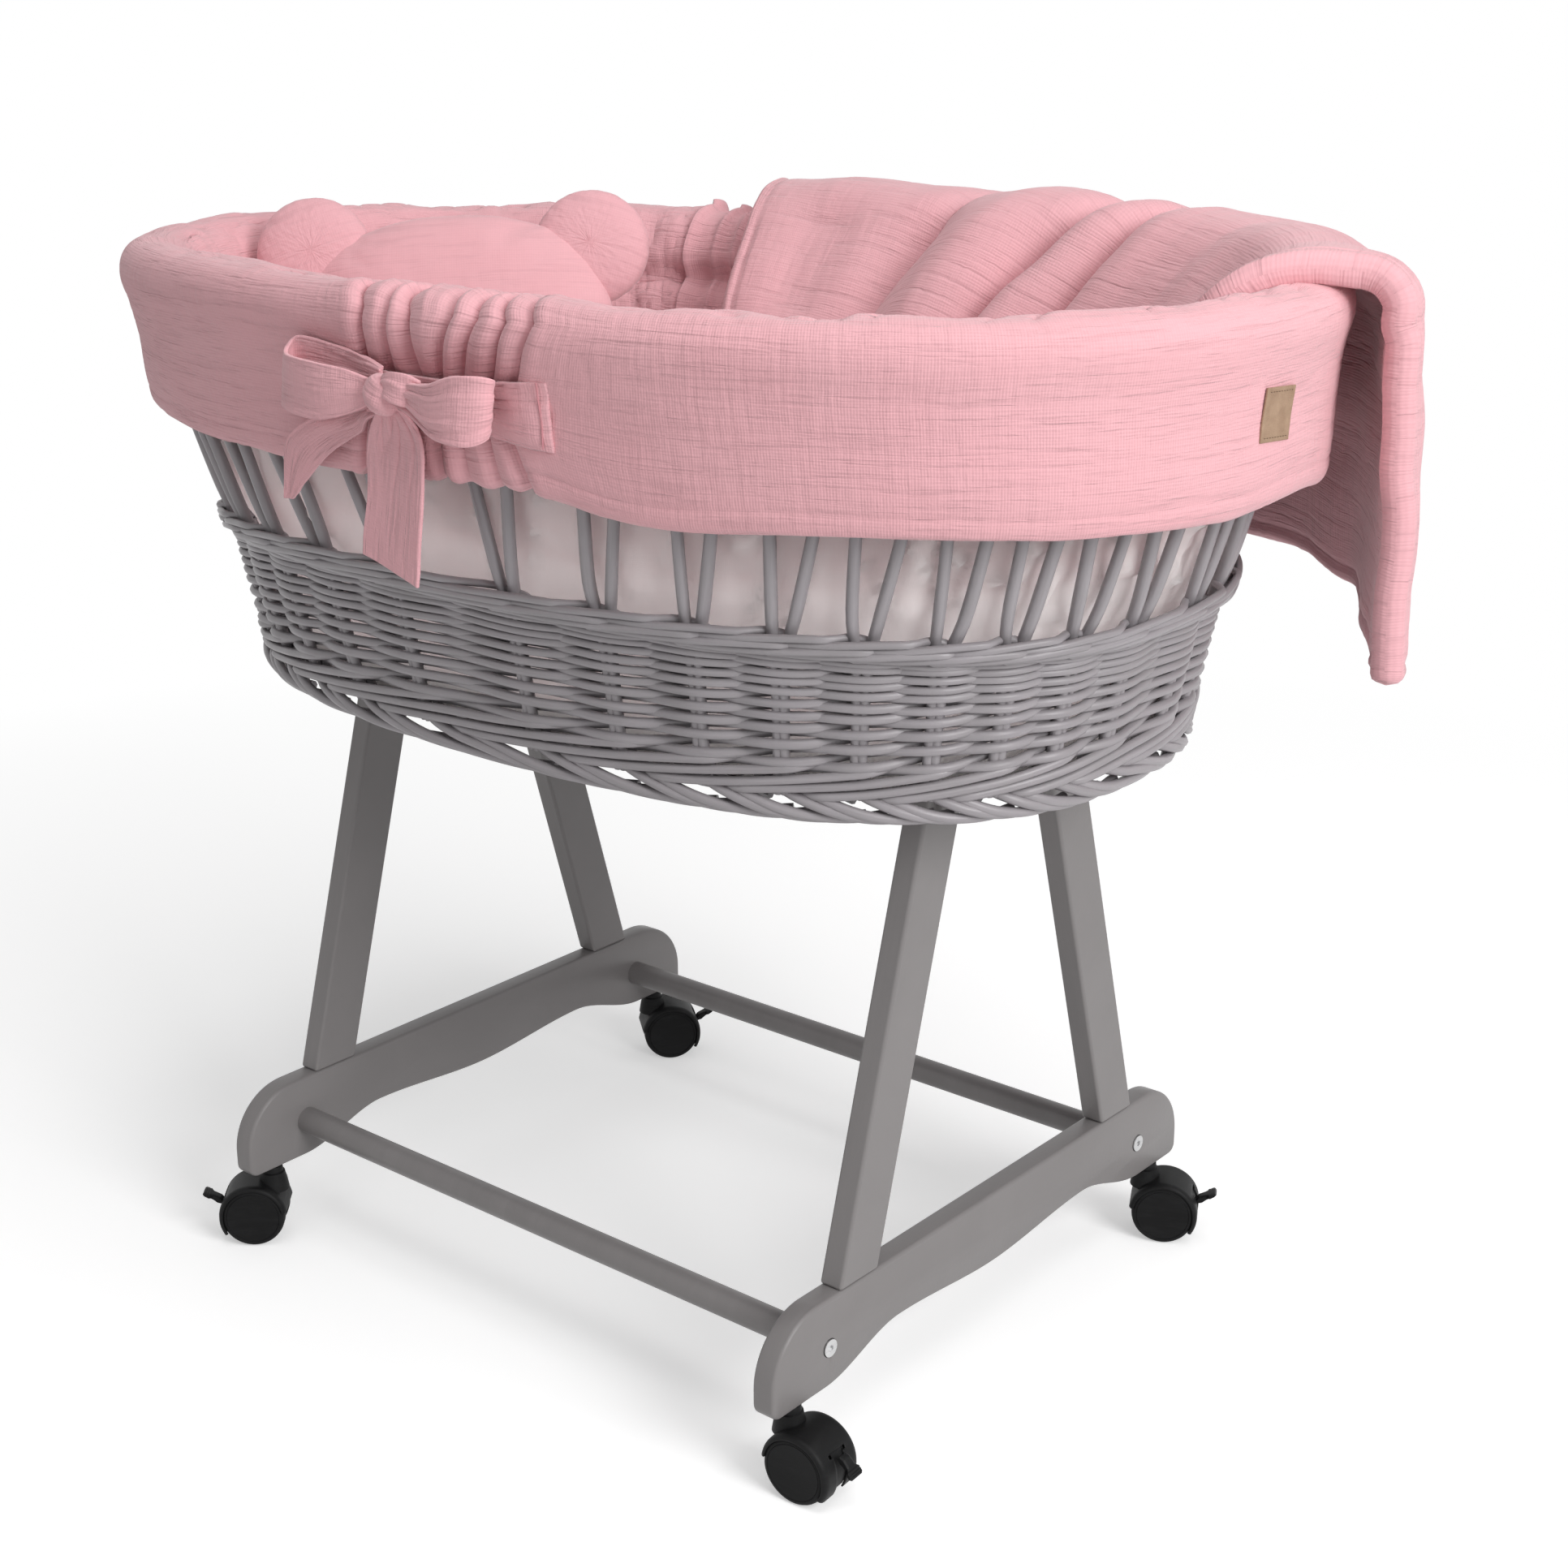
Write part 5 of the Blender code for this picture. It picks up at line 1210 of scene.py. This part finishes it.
def head_outline(t):
    """Rounded square, a little higher at the middle of its top."""
    c, s = np.cos(t), np.sin(t)
    x = np.sign(c) * np.abs(c) ** (2 / HEAD_POWER) * HEAD_HALF_WIDE
    z = np.sign(s) * np.abs(s) ** (2 / HEAD_POWER) * HEAD_HALF_HIGH
    return np.stack([x, z + 0.004 * np.exp(-(x / 0.060) ** 2) * (s > 0)], -1)


def ear_outline(t):
    return np.stack([np.cos(t) * EAR_RADIUS, np.sin(t) * EAR_RADIUS], -1)


def build_pillow():
    """Bear's head and two ears that lean on the inside of the cover at the head end."""
    low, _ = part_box("bear_pillow")
    height = (low.z - 0.0040 + HEAD_HALF_HIGH * math.cos(PILLOW_LEAN)
              + 0.042 * math.sin(PILLOW_LEAN))
    place = (Matrix.Translation((*PILLOW_PLACE, height))
             @ Matrix.Rotation(PILLOW_TURN, 4, "Z") @ Matrix.Rotation(-PILLOW_LEAN, 4, "X")
             @ Matrix.Rotation(PILLOW_ROLL, 4, "Y"))
    rng = np.random.default_rng(3)
    parts = [("bear_pillow_head", head_outline, HEAD_THICK, (0, 0, 0), 0.0, ["bear_pillow"])]
    for side, label in ((-1, "left"), (1, "right")):
        x, y, z = EAR_PLACE
        parts.append(("bear_pillow_ear_" + label, ear_outline, EAR_THICK,
                      (side * x, y, z - side * 0.003), side * EAR_TURN, ()))
    for name, outline, thick, at, spin, swapped in parts:
        obj = cushion(name, outline, thick)
        noise = rng.uniform(-1, 1, (len(obj.data.vertices), 3)) * 0.0004
        for v, d in zip(obj.data.vertices, noise):
            v.co += Vector(d)
        inflate(obj)
        matrix = place @ Matrix.Translation(at) @ Matrix.Rotation(spin, 4, "Y")
        for v in obj.data.vertices:
            v.co = matrix @ v.co
        soften = obj.modifiers.new("rounding", "SUBSURF")
        soften.levels = soften.render_levels = 1
        ride(obj, replaces=swapped)


# ------------------------------------------------------------------ quilt
# section from the outer hem, over the cover's roll, to the fold inside: metres out from the
# roll's outer face, and height
QUILT_ROWS = [
    (0.0285, 0.5100), (0.0290, 0.5600), (0.0290, 0.6300), (0.0285, 0.7000), (0.0265, 0.7360),
    (0.0165, 0.7530), (-0.0020, 0.7612), (-0.0240, 0.7650), (-0.0480, 0.7600),
    (-0.0720, 0.7390), (-0.1010, 0.7050), (-0.1320, 0.6600), (-0.1500, 0.6050),
]
QUILT_ENDS = (math.radians(12.5), math.radians(105))
QUILT_THICK, QUILT_ROUNDING = 0.022, 0.0095
QUILT_BINDING = (0.0125, 0.0034)  # its seam: distance from the edge, and depth
# folds: X where each ridge or valley crosses the crest, how far it moves for each metre inward,
# its half width and its height
QUILT_FOLDS = (
    (-0.105, 0.10, 0.050, 0.003), (0.052, 0.55, 0.017, -0.020), (0.122, 0.52, 0.034, 0.017),
    (0.172, 0.45, 0.011, -0.021), (0.203, 0.38, 0.014, 0.011), (0.238, 0.22, 0.0085, -0.025),
    (0.270, 0.28, 0.024, 0.008), (0.330, 0.10, 0.016, -0.006), (0.372, 0.05, 0.020, 0.002),
)


def build_quilt():
    """Padded quilt that lies folded over the cover's roll and hangs outside and inside it."""
    angles, run = even_angles(ROLL_OVAL, *QUILT_ENDS, 0.0042)
    rows, v = spline(QUILT_ROWS, 150)
    grow, z = rows.T
    crest = v[np.argmax(z)]
    # the near edge crosses the roll at a slant
    slant = -0.17 * step(crest - 0.035, crest + 0.055, v)
    theta = angles[:, None] + slant[None] * np.exp(-(run / 0.12) ** 2)[:, None]
    a, b = ROLL_OVAL[0] + grow, ROLL_OVAL[1] + grow
    x, y = oval_xy(a[None], b[None], theta)
    grid = np.stack([x, y, np.broadcast_to(z, x.shape)], -1)
    u2, v2 = spread(run, v)
    n = normals(grid)
    if (n[len(run) // 2, len(v) // 4] * (0, 1, 0)).sum() < 0:
        n = -n
    inward = np.clip(v2 - crest, 0, None)
    over = step(-0.030, 0.004, v2 - crest)
    # crest X of each grid line, and folds that run inward on a slant
    xc = x[:, np.argmax(z)][:, None] + v[None] * 0
    height = np.zeros_like(u2)
    for at, drift, half, tall in QUILT_FOLDS:
        middle = at - drift * (inward - 0.02) * 0.55
        wide = half * (1 + 1.2 * inward / 0.2)
        bend = 0.006 * lattice(v2 / 0.05, v2 * 0 + at * 40, 601)
        height += tall * np.exp(-(np.abs(xc - middle - bend) / wide) ** 1.6)
    height *= over * np.interp(xc, (0.30, 0.42), (1, 0.35))
    height *= 0.50 + 0.50 * step(0.0, 0.060, inward)
    # hanging part: slow waves down its length, deeper at the hem
    drop = step(0.10, 0.0, v2)
    height += (0.006 * lattice(u2 / 0.085, v2 / 0.30, 611)) * (1 - over) * (0.35 + 0.65 * drop)
    height += 0.0030 * lattice(u2 / 0.06, v2 / 0.05, 621)
    height += 1.0 * gauze(v2, u2, 631) + 0.4 * gauze(u2, v2, 641)
    # the near edge is drawn tight over the roll, and creases run down beside it
    near = np.exp(-u2 / 0.030)
    height += 0.0050 * near * hump(v2, crest - 0.030, 0.016)
    height -= 0.0045 * near * hump(v2, crest - 0.062, 0.008)
    height -= 0.0022 * hump(u2, 0.026, 0.0030) * (v2 < crest - 0.05)
    grid = grid + n * height[..., None]
    # wavy lower hem, higher round the far side, and a rounded far edge
    rise = np.interp(run, (0, 0.10, 0.20, 0.30, 0.45), (0.0, 0.012, 0.034, 0.030, 0.036))
    rise = rise + 0.006 * lattice(run / 0.06, run * 0, 651)
    grid[..., 2] += rise[:, None] * step(0.20, 0.0, v2)
    grid[..., 2] += 0.010 * np.exp(-(u2 + v2) / 0.012)
    obj = slab_piece("quilt_folded", grid, run, v, QUILT_THICK, QUILT_ROUNDING, MUSLIN_QUILT,
                     groove=QUILT_BINDING)
    fix_normals(obj)
    ride(obj, replaces=["quilt"])


# ------------------------------------------------------------------ stand
RAIL_X, RAIL_HALF, RAIL_THICK = 0.259, 0.243, 0.018
RAIL_NOSE, FOOT_CORNER, FOOT_LENGTH = 0.046, 0.008, 0.054
ARCH_RISE, ARCH_PLACE, BELLY_RISE = 0.018, 0.112, 0.0105
DOWEL_Y, DOWEL_Z, DOWEL_R = 0.186, 0.0905, 0.010
RECESS_R, RECESS_DEPTH = 0.0066, 0.0026
LEG_SPREAD, LEG_WIDTH, LEG_LEAN = 0.175, 0.040, 0.28
LEG_BOTTOM, LEG_TOP = 0.1263, 0.4264
TOP_RAIL_HIGH, TOP_RAIL_WIDE = 0.022, 0.030
RAIL_EASING, LEG_EASING = 0.0028, 0.0024


def baked(obj, *cutters):
    """Apply an object's modifiers and drop the cutters they used."""
    shape = obj.evaluated_get(bpy.context.evaluated_depsgraph_get())
    mesh = bpy.data.meshes.new_from_object(shape)
    obj.modifiers.clear()
    obj.data = mesh
    for cutter in cutters:
        bpy.data.objects.remove(cutter)
    return obj


def prism(name, outline, low, high, material):
    """A flat outline of (y, z) points pulled along X."""
    count = len(outline)
    verts = [(low, y, z) for y, z in outline] + [(high, y, z) for y, z in outline]
    faces = [list(range(count))[::-1], list(range(count, 2 * count))]
    for i in range(count):
        k = (i + 1) % count
        faces.append([i, k, count + k, count + i])
    obj = piece_from(name, verts, faces, material)
    return fix_normals(obj)


def disc(name, centre, radius, low, high):
    """A round rod along X, from low to high."""
    ring = [(centre[0] + radius * math.cos(a), centre[1] + radius * math.sin(a))
            for a in np.linspace(0, 2 * math.pi, 40, endpoint=False)]
    return prism(name, ring, low, high, WOOD)


def eased(obj, width):
    """Round over the sharp edges."""
    bevel = obj.modifiers.new("eased_edges", "BEVEL")
    bevel.width, bevel.segments = width, 4
    bevel.limit_method, bevel.angle_limit = "ANGLE", math.radians(38)
    bevel.harden_normals = True


def rail_outline():
    """Side of a rail: rounded noses, a foot at each end, and an arch with a belly between."""
    half = [(0.0, RAIL_TOP_Z)]
    for i in range(25):
        a = math.pi / 2 * (1 - i / 24)
        half.append((RAIL_HALF - RAIL_NOSE + RAIL_NOSE * math.cos(a),
                     RAIL_TOP_Z - RAIL_NOSE + RAIL_NOSE * math.sin(a)))
    for i in range(8):
        a = math.pi / 2 * i / 7
        half.append((RAIL_HALF - FOOT_CORNER + FOOT_CORNER * math.cos(a),
                     SOLE_Z + FOOT_CORNER - FOOT_CORNER * math.sin(a)))
    toe = RAIL_HALF - FOOT_LENGTH
    for share in np.linspace(0, 1, 18):
        half.append((toe + (ARCH_PLACE - toe) * share,
                     SOLE_Z + ARCH_RISE * share * share * (3 - 2 * share)))
    for share in np.linspace(0, 1, 14)[1:]:
        rise = ARCH_RISE + (BELLY_RISE - ARCH_RISE) * share * share * (3 - 2 * share)
        half.append((ARCH_PLACE * (1 - share), SOLE_Z + rise))
    return half + [(-y, z) for y, z in reversed(half[1:-1])]


def build_stand():
    """Two end frames, each a rail with two leaning legs and a top rail, tied by two dowels."""
    for side, label in ((-1, "left"), (1, "right")):
        inner, outer = side * (RAIL_X - RAIL_THICK / 2), side * (RAIL_X + RAIL_THICK / 2)
        rail = prism("painted_rail_" + label, rail_outline(), min(inner, outer),
                     max(inner, outer), WOOD)
        eased(rail, RAIL_EASING)
        cutters = []
        for end in (-1, 1):
            cutter = disc("recess", (end * DOWEL_Y, DOWEL_Z), RECESS_R,
                          *sorted((outer - side * RECESS_DEPTH, outer + side * 0.01)))
            cut = rail.modifiers.new("recess", "BOOLEAN")
            cut.operation, cut.object = "DIFFERENCE", cutter
            cutters.append(cutter)
        baked(rail, *cutters)
        rail.data.shade_smooth()
        rail.data.set_sharp_from_angle(angle=math.radians(35))
        ride(rail, "stand", [label + "_rail"])
        for end, end_label in ((-1, "front"), (1, "back")):
            z0, z1 = LEG_BOTTOM - 0.0002, LEG_TOP + 0.024
            y0 = end * (LEG_SPREAD - LEG_WIDTH / 2)
            y1 = y0 - end * LEG_LEAN * (z1 - z0)
            h = LEG_WIDTH / 2
            leg = prism("painted_leg_" + end_label + "_" + label,
                        [(y0 - h, z0), (y0 + h, z0), (y1 + h, z1), (y1 - h, z1)],
                        min(inner, outer), max(inner, outer), WOOD)
            eased(leg, LEG_EASING)
            ride(leg, "stand", ["leg_" + end_label + "_" + label])
        reach = LEG_SPREAD - LEG_LEAN * (LEG_TOP - LEG_BOTTOM) - 0.012
        z0 = LEG_TOP + 0.0003
        top = prism("painted_top_rail_" + label,
                    [(-reach, z0), (reach, z0), (reach, z0 + TOP_RAIL_HIGH),
                     (-reach, z0 + TOP_RAIL_HIGH)],
                    side * RAIL_X - TOP_RAIL_WIDE / 2, side * RAIL_X + TOP_RAIL_WIDE / 2, WOOD)
        eased(top, LEG_EASING)
        ride(top, "stand", [label + "_top_rail"])
    for end, label in ((-1, "front"), (1, "back")):
        reach = RAIL_X - RAIL_THICK / 2 + 0.0004
        rod = disc("painted_dowel_" + label, (end * DOWEL_Y, DOWEL_Z), DOWEL_R, -reach, reach)
        rod.data.set_sharp_from_angle(angle=math.radians(40))
        ride(rod, "stand", [label + "_dowel"])


# ------------------------------------------------------------------ casters
# corner, its sides in X and Y, heading in degrees, and whether its brake is down
CASTERS = (("front_left", -1, -1, 222, False), ("back_left", -1, 1, 50, False),
           ("front_right", 1, -1, 4, True), ("back_right", 1, 1, 28, False))
CASTER_Y, TRAIL, WHEEL_R, HALF_WIDE = 0.216, 0.015, 0.024, 0.0190
WEB_HALF, WHEEL_IN = 0.0055, 0.0063
HOOD_R, HOOD_THICK, HOOD_SHOULDER, HOOD_DROP = 0.0262, 0.0013, 0.0052, 0.0034
WEB_R = 0.0252
LEVER_REACH, LEVER_AT = 0.0309, math.radians(18)
LEVER_UP, LEVER_DOWN = math.radians(32), math.radians(-43)


def turned(name, profile, place, material, sides=72):
    """A body turned about the local Y axis from (radius, y) points."""
    verts, faces = [], []
    for i in range(sides):
        a = 2 * math.pi * i / sides
        verts += [place @ Vector((r * math.cos(a), y, r * math.sin(a))) for r, y in profile]
    count = len(profile)
    for i in range(sides):
        k = (i + 1) % sides
        for j in range(count - 1):
            faces.append([i * count + j, k * count + j, k * count + j + 1, i * count + j + 1])
    faces.append([i * count for i in range(sides)][::-1])
    faces.append([i * count + count - 1 for i in range(sides)])
    obj = fix_normals(piece_from(name, verts, faces, material))
    obj.data.set_sharp_from_angle(angle=math.radians(32))
    return obj


def build_hood(corner, place):
    """Hood with rounded shoulders, a slot for the lever and a boss for the stem."""
    axle = place @ Matrix.Translation((TRAIL, 0, WHEEL_R))
    around = np.radians(np.linspace(-33, 171, 69))
    shoulder = HALF_WIDE - HOOD_SHOULDER * (1 - np.cos(np.linspace(math.pi / 2, 0, 7)))
    across = np.concatenate([-shoulder, np.linspace(-0.0140, 0.0140, 17), shoulder])
    across = np.unique(np.round(across, 6))
    edge = np.clip((np.abs(across) - (HALF_WIDE - HOOD_SHOULDER)) / HOOD_SHOULDER, 0, 1)
    drop = HOOD_DROP * (1 - np.sqrt(np.clip(1 - edge ** 2.4, 0, 1)))
    verts, faces = [], []
    for a in around:
        flare = 0.0012 * max(0.0, math.sin(-a)) if a < 0 else 0.0
        for y, d in zip(across, drop):
            r = HOOD_R - d + flare
            verts.append(axle @ Vector((r * math.cos(a), y, r * math.sin(a))))
    wide = len(across)
    for i in range(len(around) - 1):
        middle = math.degrees((around[i] + around[i + 1]) / 2)
        for j in range(wide - 1):
            y = (across[j] + across[j + 1]) / 2
            if -34 < middle < 31 and abs(y) < 0.0047 or 31 < middle < 37 and abs(y) < 0.0085:
                continue
            faces.append([i * wide + j, (i + 1) * wide + j,
                          (i + 1) * wide + j + 1, i * wide + j + 1])
    hood = piece_from("caster_cover_" + corner, verts, faces, BLACK)
    fix_normals(hood)
    thicken(hood, HOOD_THICK, -1.0)
    hood.data.set_sharp_from_angle(angle=math.radians(40))
    ride(hood, "swivel_" + corner, ["caster_hood_" + corner])
    profile = [(0.0020, -WEB_HALF), (WEB_R, -WEB_HALF), (WEB_R, WEB_HALF), (0.0020, WEB_HALF)]
    steps = np.radians(np.linspace(-27, 168, 50))
    verts = [axle @ Vector((r * math.cos(a), y, r * math.sin(a))) for a in steps
             for r, y in profile]
    faces = skin(len(steps), 4) + [[0, 1, 2, 3], [len(verts) - 4 + k for k in (3, 2, 1, 0)]]
    web = fix_normals(piece_from("caster_web_" + corner, verts, faces, BLACK, smooth=False))
    ride(web, "swivel_" + corner)
    upright = place @ Matrix.Rotation(math.pi / 2, 4, "X")
    boss = turned("caster_boss_" + corner,
                  [(0.0030, 0.040), (0.0118, 0.0415), (0.0104, 0.0500), (0.0094, 0.0535),
                   (0.0090, 0.0556), (0.0078, 0.0562), (0.0076, 0.0598), (0.0072, 0.0606),
                   (0.0030, 0.0607)], upright, BLACK, 48)
    ride(boss, "swivel_" + corner)


def build_wheels(corner, place):
    """Two wheels with a raised rim on their outer faces."""
    axle = place @ Matrix.Translation((TRAIL, 0, WHEEL_R))
    w = HALF_WIDE
    for side, label in ((1, "a"), (-1, "b")):
        profile = [(0.0012, w - 0.0016), (0.0060, w - 0.0015), (0.0120, w - 0.0012),
                   (0.0165, w - 0.0008), (0.0196, w - 0.0006), (0.0200, w - 0.0010),
                   (0.0204, w - 0.0006), (0.0216, w - 0.0008), (0.0228, w - 0.0016),
                   (0.0236, w - 0.0030), (WHEEL_R, w - 0.0050), (WHEEL_R, WHEEL_IN + 0.0020),
                   (0.0234, WHEEL_IN), (0.0050, WHEEL_IN)]
        wheel = turned("caster_roller_" + label + "_" + corner,
                       [(r, side * y) for r, y in profile], axle, TREAD, 96)
        ride(wheel, "wheels_" + corner,
             ["caster_wheel_" + label + "_" + corner])


def build_lever(corner, place, pressed):
    """Brake lever: hinge barrel, narrow arm and a broad ribbed tread."""
    angle = LEVER_DOWN if pressed else LEVER_UP
    hinge = (place @ Matrix.Translation((TRAIL + LEVER_REACH * math.cos(LEVER_AT), 0,
                                         WHEEL_R + LEVER_REACH * math.sin(LEVER_AT)))
             @ Matrix.Rotation(-angle, 4, "Y"))
    x = np.linspace(-0.0052, 0.0112, 30)
    wide = np.interp(x, (-0.0052, 0.001, 0.0040, 0.0060, 0.0098, 0.0112),
                     (0.0040, 0.0040, 0.0042, 0.0062, 0.0064, 0.0050))
    top = np.interp(x, (-0.0052, -0.002, 0.002, 0.006, 0.0112),
                    (0.0016, 0.0028, 0.0024, 0.0018, 0.0010))
    ribs = 0.0004 * (np.cos(2 * math.pi * x / 0.0021) > 0.2) * (x > 0.0055) * (x < 0.0105)
    low = np.interp(x, (-0.0052, -0.002, 0.002, 0.0112), (-0.0016, -0.0028, -0.0020, -0.0015))
    w = np.linspace(-1, 1, 9)
    verts = []
    for xi, wi, ti, ri, li in zip(x, wide, top, ribs, low):
        round_off = 1 - 0.35 * np.abs(w) ** 6
        verts += [hinge @ Vector((xi, wi * v, (ti + ri) * r)) for v, r in zip(w, round_off)]
        verts += [hinge @ Vector((xi, wi * v, li * r)) for v, r in zip(w[::-1], round_off)]
    ring = 2 * len(w)
    faces = skin(len(x), ring)
    faces += [list(range(ring))[::-1], list(range(len(verts) - ring, len(verts)))]
    lever = fix_normals(piece_from("caster_brake_" + corner, verts, faces, BLACK))
    lever.data.set_sharp_from_angle(angle=math.radians(30))
    ride(lever, "brake_" + corner, ["brake_lever_" + corner])


def build_casters():
    """Four swivel casters, each with its own heading."""
    for corner, side_x, side_y, heading, pressed in CASTERS:
        place = (Matrix.Translation((side_x * RAIL_X, side_y * CASTER_Y, 0))
                 @ Matrix.Rotation(math.radians(heading), 4, "Z"))
        build_hood(corner, place)
        build_wheels(corner, place)
        build_lever(corner, place, pressed)


# ------------------------------------------------------------------ stage, lights, camera
FLOOR_HALF = 14.0
FLOOR_FADE = (0.55, 1.7)          # distances from the object where the floor turns plain white
WORLD_LIGHT = 0.31
# name, place, target, size, power
LIGHTS = (("key", (3.0, -0.6, 1.9), (0.1, 0, 0.55), (1.5, 1.5), 74),
          ("top", (0.7, -0.2, 3.0), (0, 0, 0.6), (2.2, 2.2), 33),
          ("fill", (-0.2, -3.2, 1.2), (0, 0, 0.5), (2.0, 1.6), 5))
CAMERA_PLACE = (1.13478, -1.27044, 0.94752)
CAMERA_AZIMUTH, CAMERA_ELEVATION, CAMERA_ROLL = map(math.radians, (39.7959, 18.769, -0.2434))
CAMERA_FOCAL, IMAGE_WIDE, SENSOR = 3028.23, 1932, 36.0       # pixels, pixels, millimetres


def seen_directly(tree):
    """1 for rays that show a surface as it is, 0 for rays that carry its light to others."""
    path = tree.nodes.new("ShaderNodeLightPath")
    seen = path.outputs["Is Camera Ray"]
    for kind in ("Is Glossy Ray", "Is Transmission Ray"):
        either = tree.nodes.new("ShaderNodeMath")
        either.operation = "MAXIMUM"
        tree.links.new(seen, either.inputs[0])
        tree.links.new(path.outputs[kind], either.inputs[1])
        seen = either.outputs[0]
    return seen


def build_stage():
    """White floor that keeps the object's shadow and fades to plain white further out."""
    n = Nodes("stage")
    seen = seen_directly(n.tree)
    place = n.add("ShaderNodeNewGeometry").outputs["Position"]
    length = n.add("ShaderNodeVectorMath", operation="LENGTH")
    n.link(place, length.inputs[0])
    far = n.ramp(length.outputs["Value"], 0, 1, *FLOOR_FADE)
    colour = n.mix(n.math("MULTIPLY", far, seen), (0.86, 0.86, 0.86), (0.0, 0.0, 0.0))
    n.finish(colour, 0.9, None, Specular_IOR_Level=0.0)
    n.shader.inputs["Emission Color"].default_value = (1, 1, 1, 1)
    glow = n.math("ADD", 0.40, n.math("MULTIPLY", far, 0.60))
    n.link(n.math("MULTIPLY", seen, glow), n.shader.inputs["Emission Strength"])
    verts = [(x * FLOOR_HALF, y * FLOOR_HALF, 0) for x, y in ((-1, -1), (1, -1), (1, 1), (-1, 1))]
    floor = piece_from("floor", verts, [[0, 1, 2, 3]], n.material, smooth=False)


def area_light(name, place, target, size, power):
    data = bpy.data.lights.new(name, "AREA")
    data.shape = "RECTANGLE"
    data.size, data.size_y = size
    data.energy = power
    lamp = bpy.data.objects.new(name, data)
    bpy.context.scene.collection.objects.link(lamp)
    lamp.location = place
    lamp.rotation_mode = "QUATERNION"
    lamp.rotation_quaternion = (Vector(target) - Vector(place)).to_track_quat("-Z", "Y")


def build_lights():
    """White surroundings that light softly, and three soft lamps."""
    world = bpy.data.worlds.new("studio")
    bpy.context.scene.world = world
    world.use_nodes = True
    tree = world.node_tree
    background = tree.nodes["Background"]
    strength = tree.nodes.new("ShaderNodeMapRange")
    strength.inputs["To Min"].default_value = WORLD_LIGHT
    strength.inputs["To Max"].default_value = 1.0
    tree.links.new(seen_directly(tree), strength.inputs["Value"])
    tree.links.new(strength.outputs["Result"], background.inputs["Strength"])
    background.inputs["Color"].default_value = (1, 1, 1, 1)
    for light in LIGHTS:
        area_light(*light)


def build_camera():
    """Camera at the photograph's place and angle."""
    data = bpy.data.cameras.new("camera")
    camera = bpy.data.objects.new("camera", data)
    bpy.context.scene.collection.objects.link(camera)
    bpy.context.scene.camera = camera
    azimuth, elevation, roll = CAMERA_AZIMUTH, CAMERA_ELEVATION, CAMERA_ROLL
    back = Vector((math.sin(azimuth) * math.cos(elevation),
                   -math.cos(azimuth) * math.cos(elevation), math.sin(elevation)))
    right = Vector((math.cos(azimuth), math.sin(azimuth), 0))
    up = back.cross(right)
    right, up = (right * math.cos(roll) + up * math.sin(roll),
                 up * math.cos(roll) - right * math.sin(roll))
    turn = Matrix((right, up, back)).transposed()
    camera.rotation_mode = "QUATERNION"
    camera.rotation_quaternion = turn.to_quaternion()
    camera.location = CAMERA_PLACE
    data.sensor_width = SENSOR
    data.lens = CAMERA_FOCAL / IMAGE_WIDE * SENSOR


bpy.context.scene.view_settings.view_transform = "Standard"
build_camera()
build_lights()
build_stage()
build_weave()
build_wales()
build_foot_border()
build_base()
build_stakes()
build_cover()
build_lining()
build_mattress()
build_bow()
build_knot()
build_sash()
build_label()
build_pillow()
build_quilt()
build_stand()
build_casters()

# the CAD nodes that stay in view take their slot's material
SLOTS = {"painted_wood": WOOD, "painted_wicker": WICKER, "black_plastic": BLACK, "steel": STEEL,
         "pink_muslin": MUSLIN, "white_cotton": COTTON, "tan_leather": LEATHER}
SLOT_OF = {m["node"]: m["material_slot"] for m in frame["record"]["subparts"]}
for node, obj in frame["nodes"].items():
    for spot in obj.material_slots:
        spot.material = SLOTS.get(SLOT_OF.get(node), WOOD)
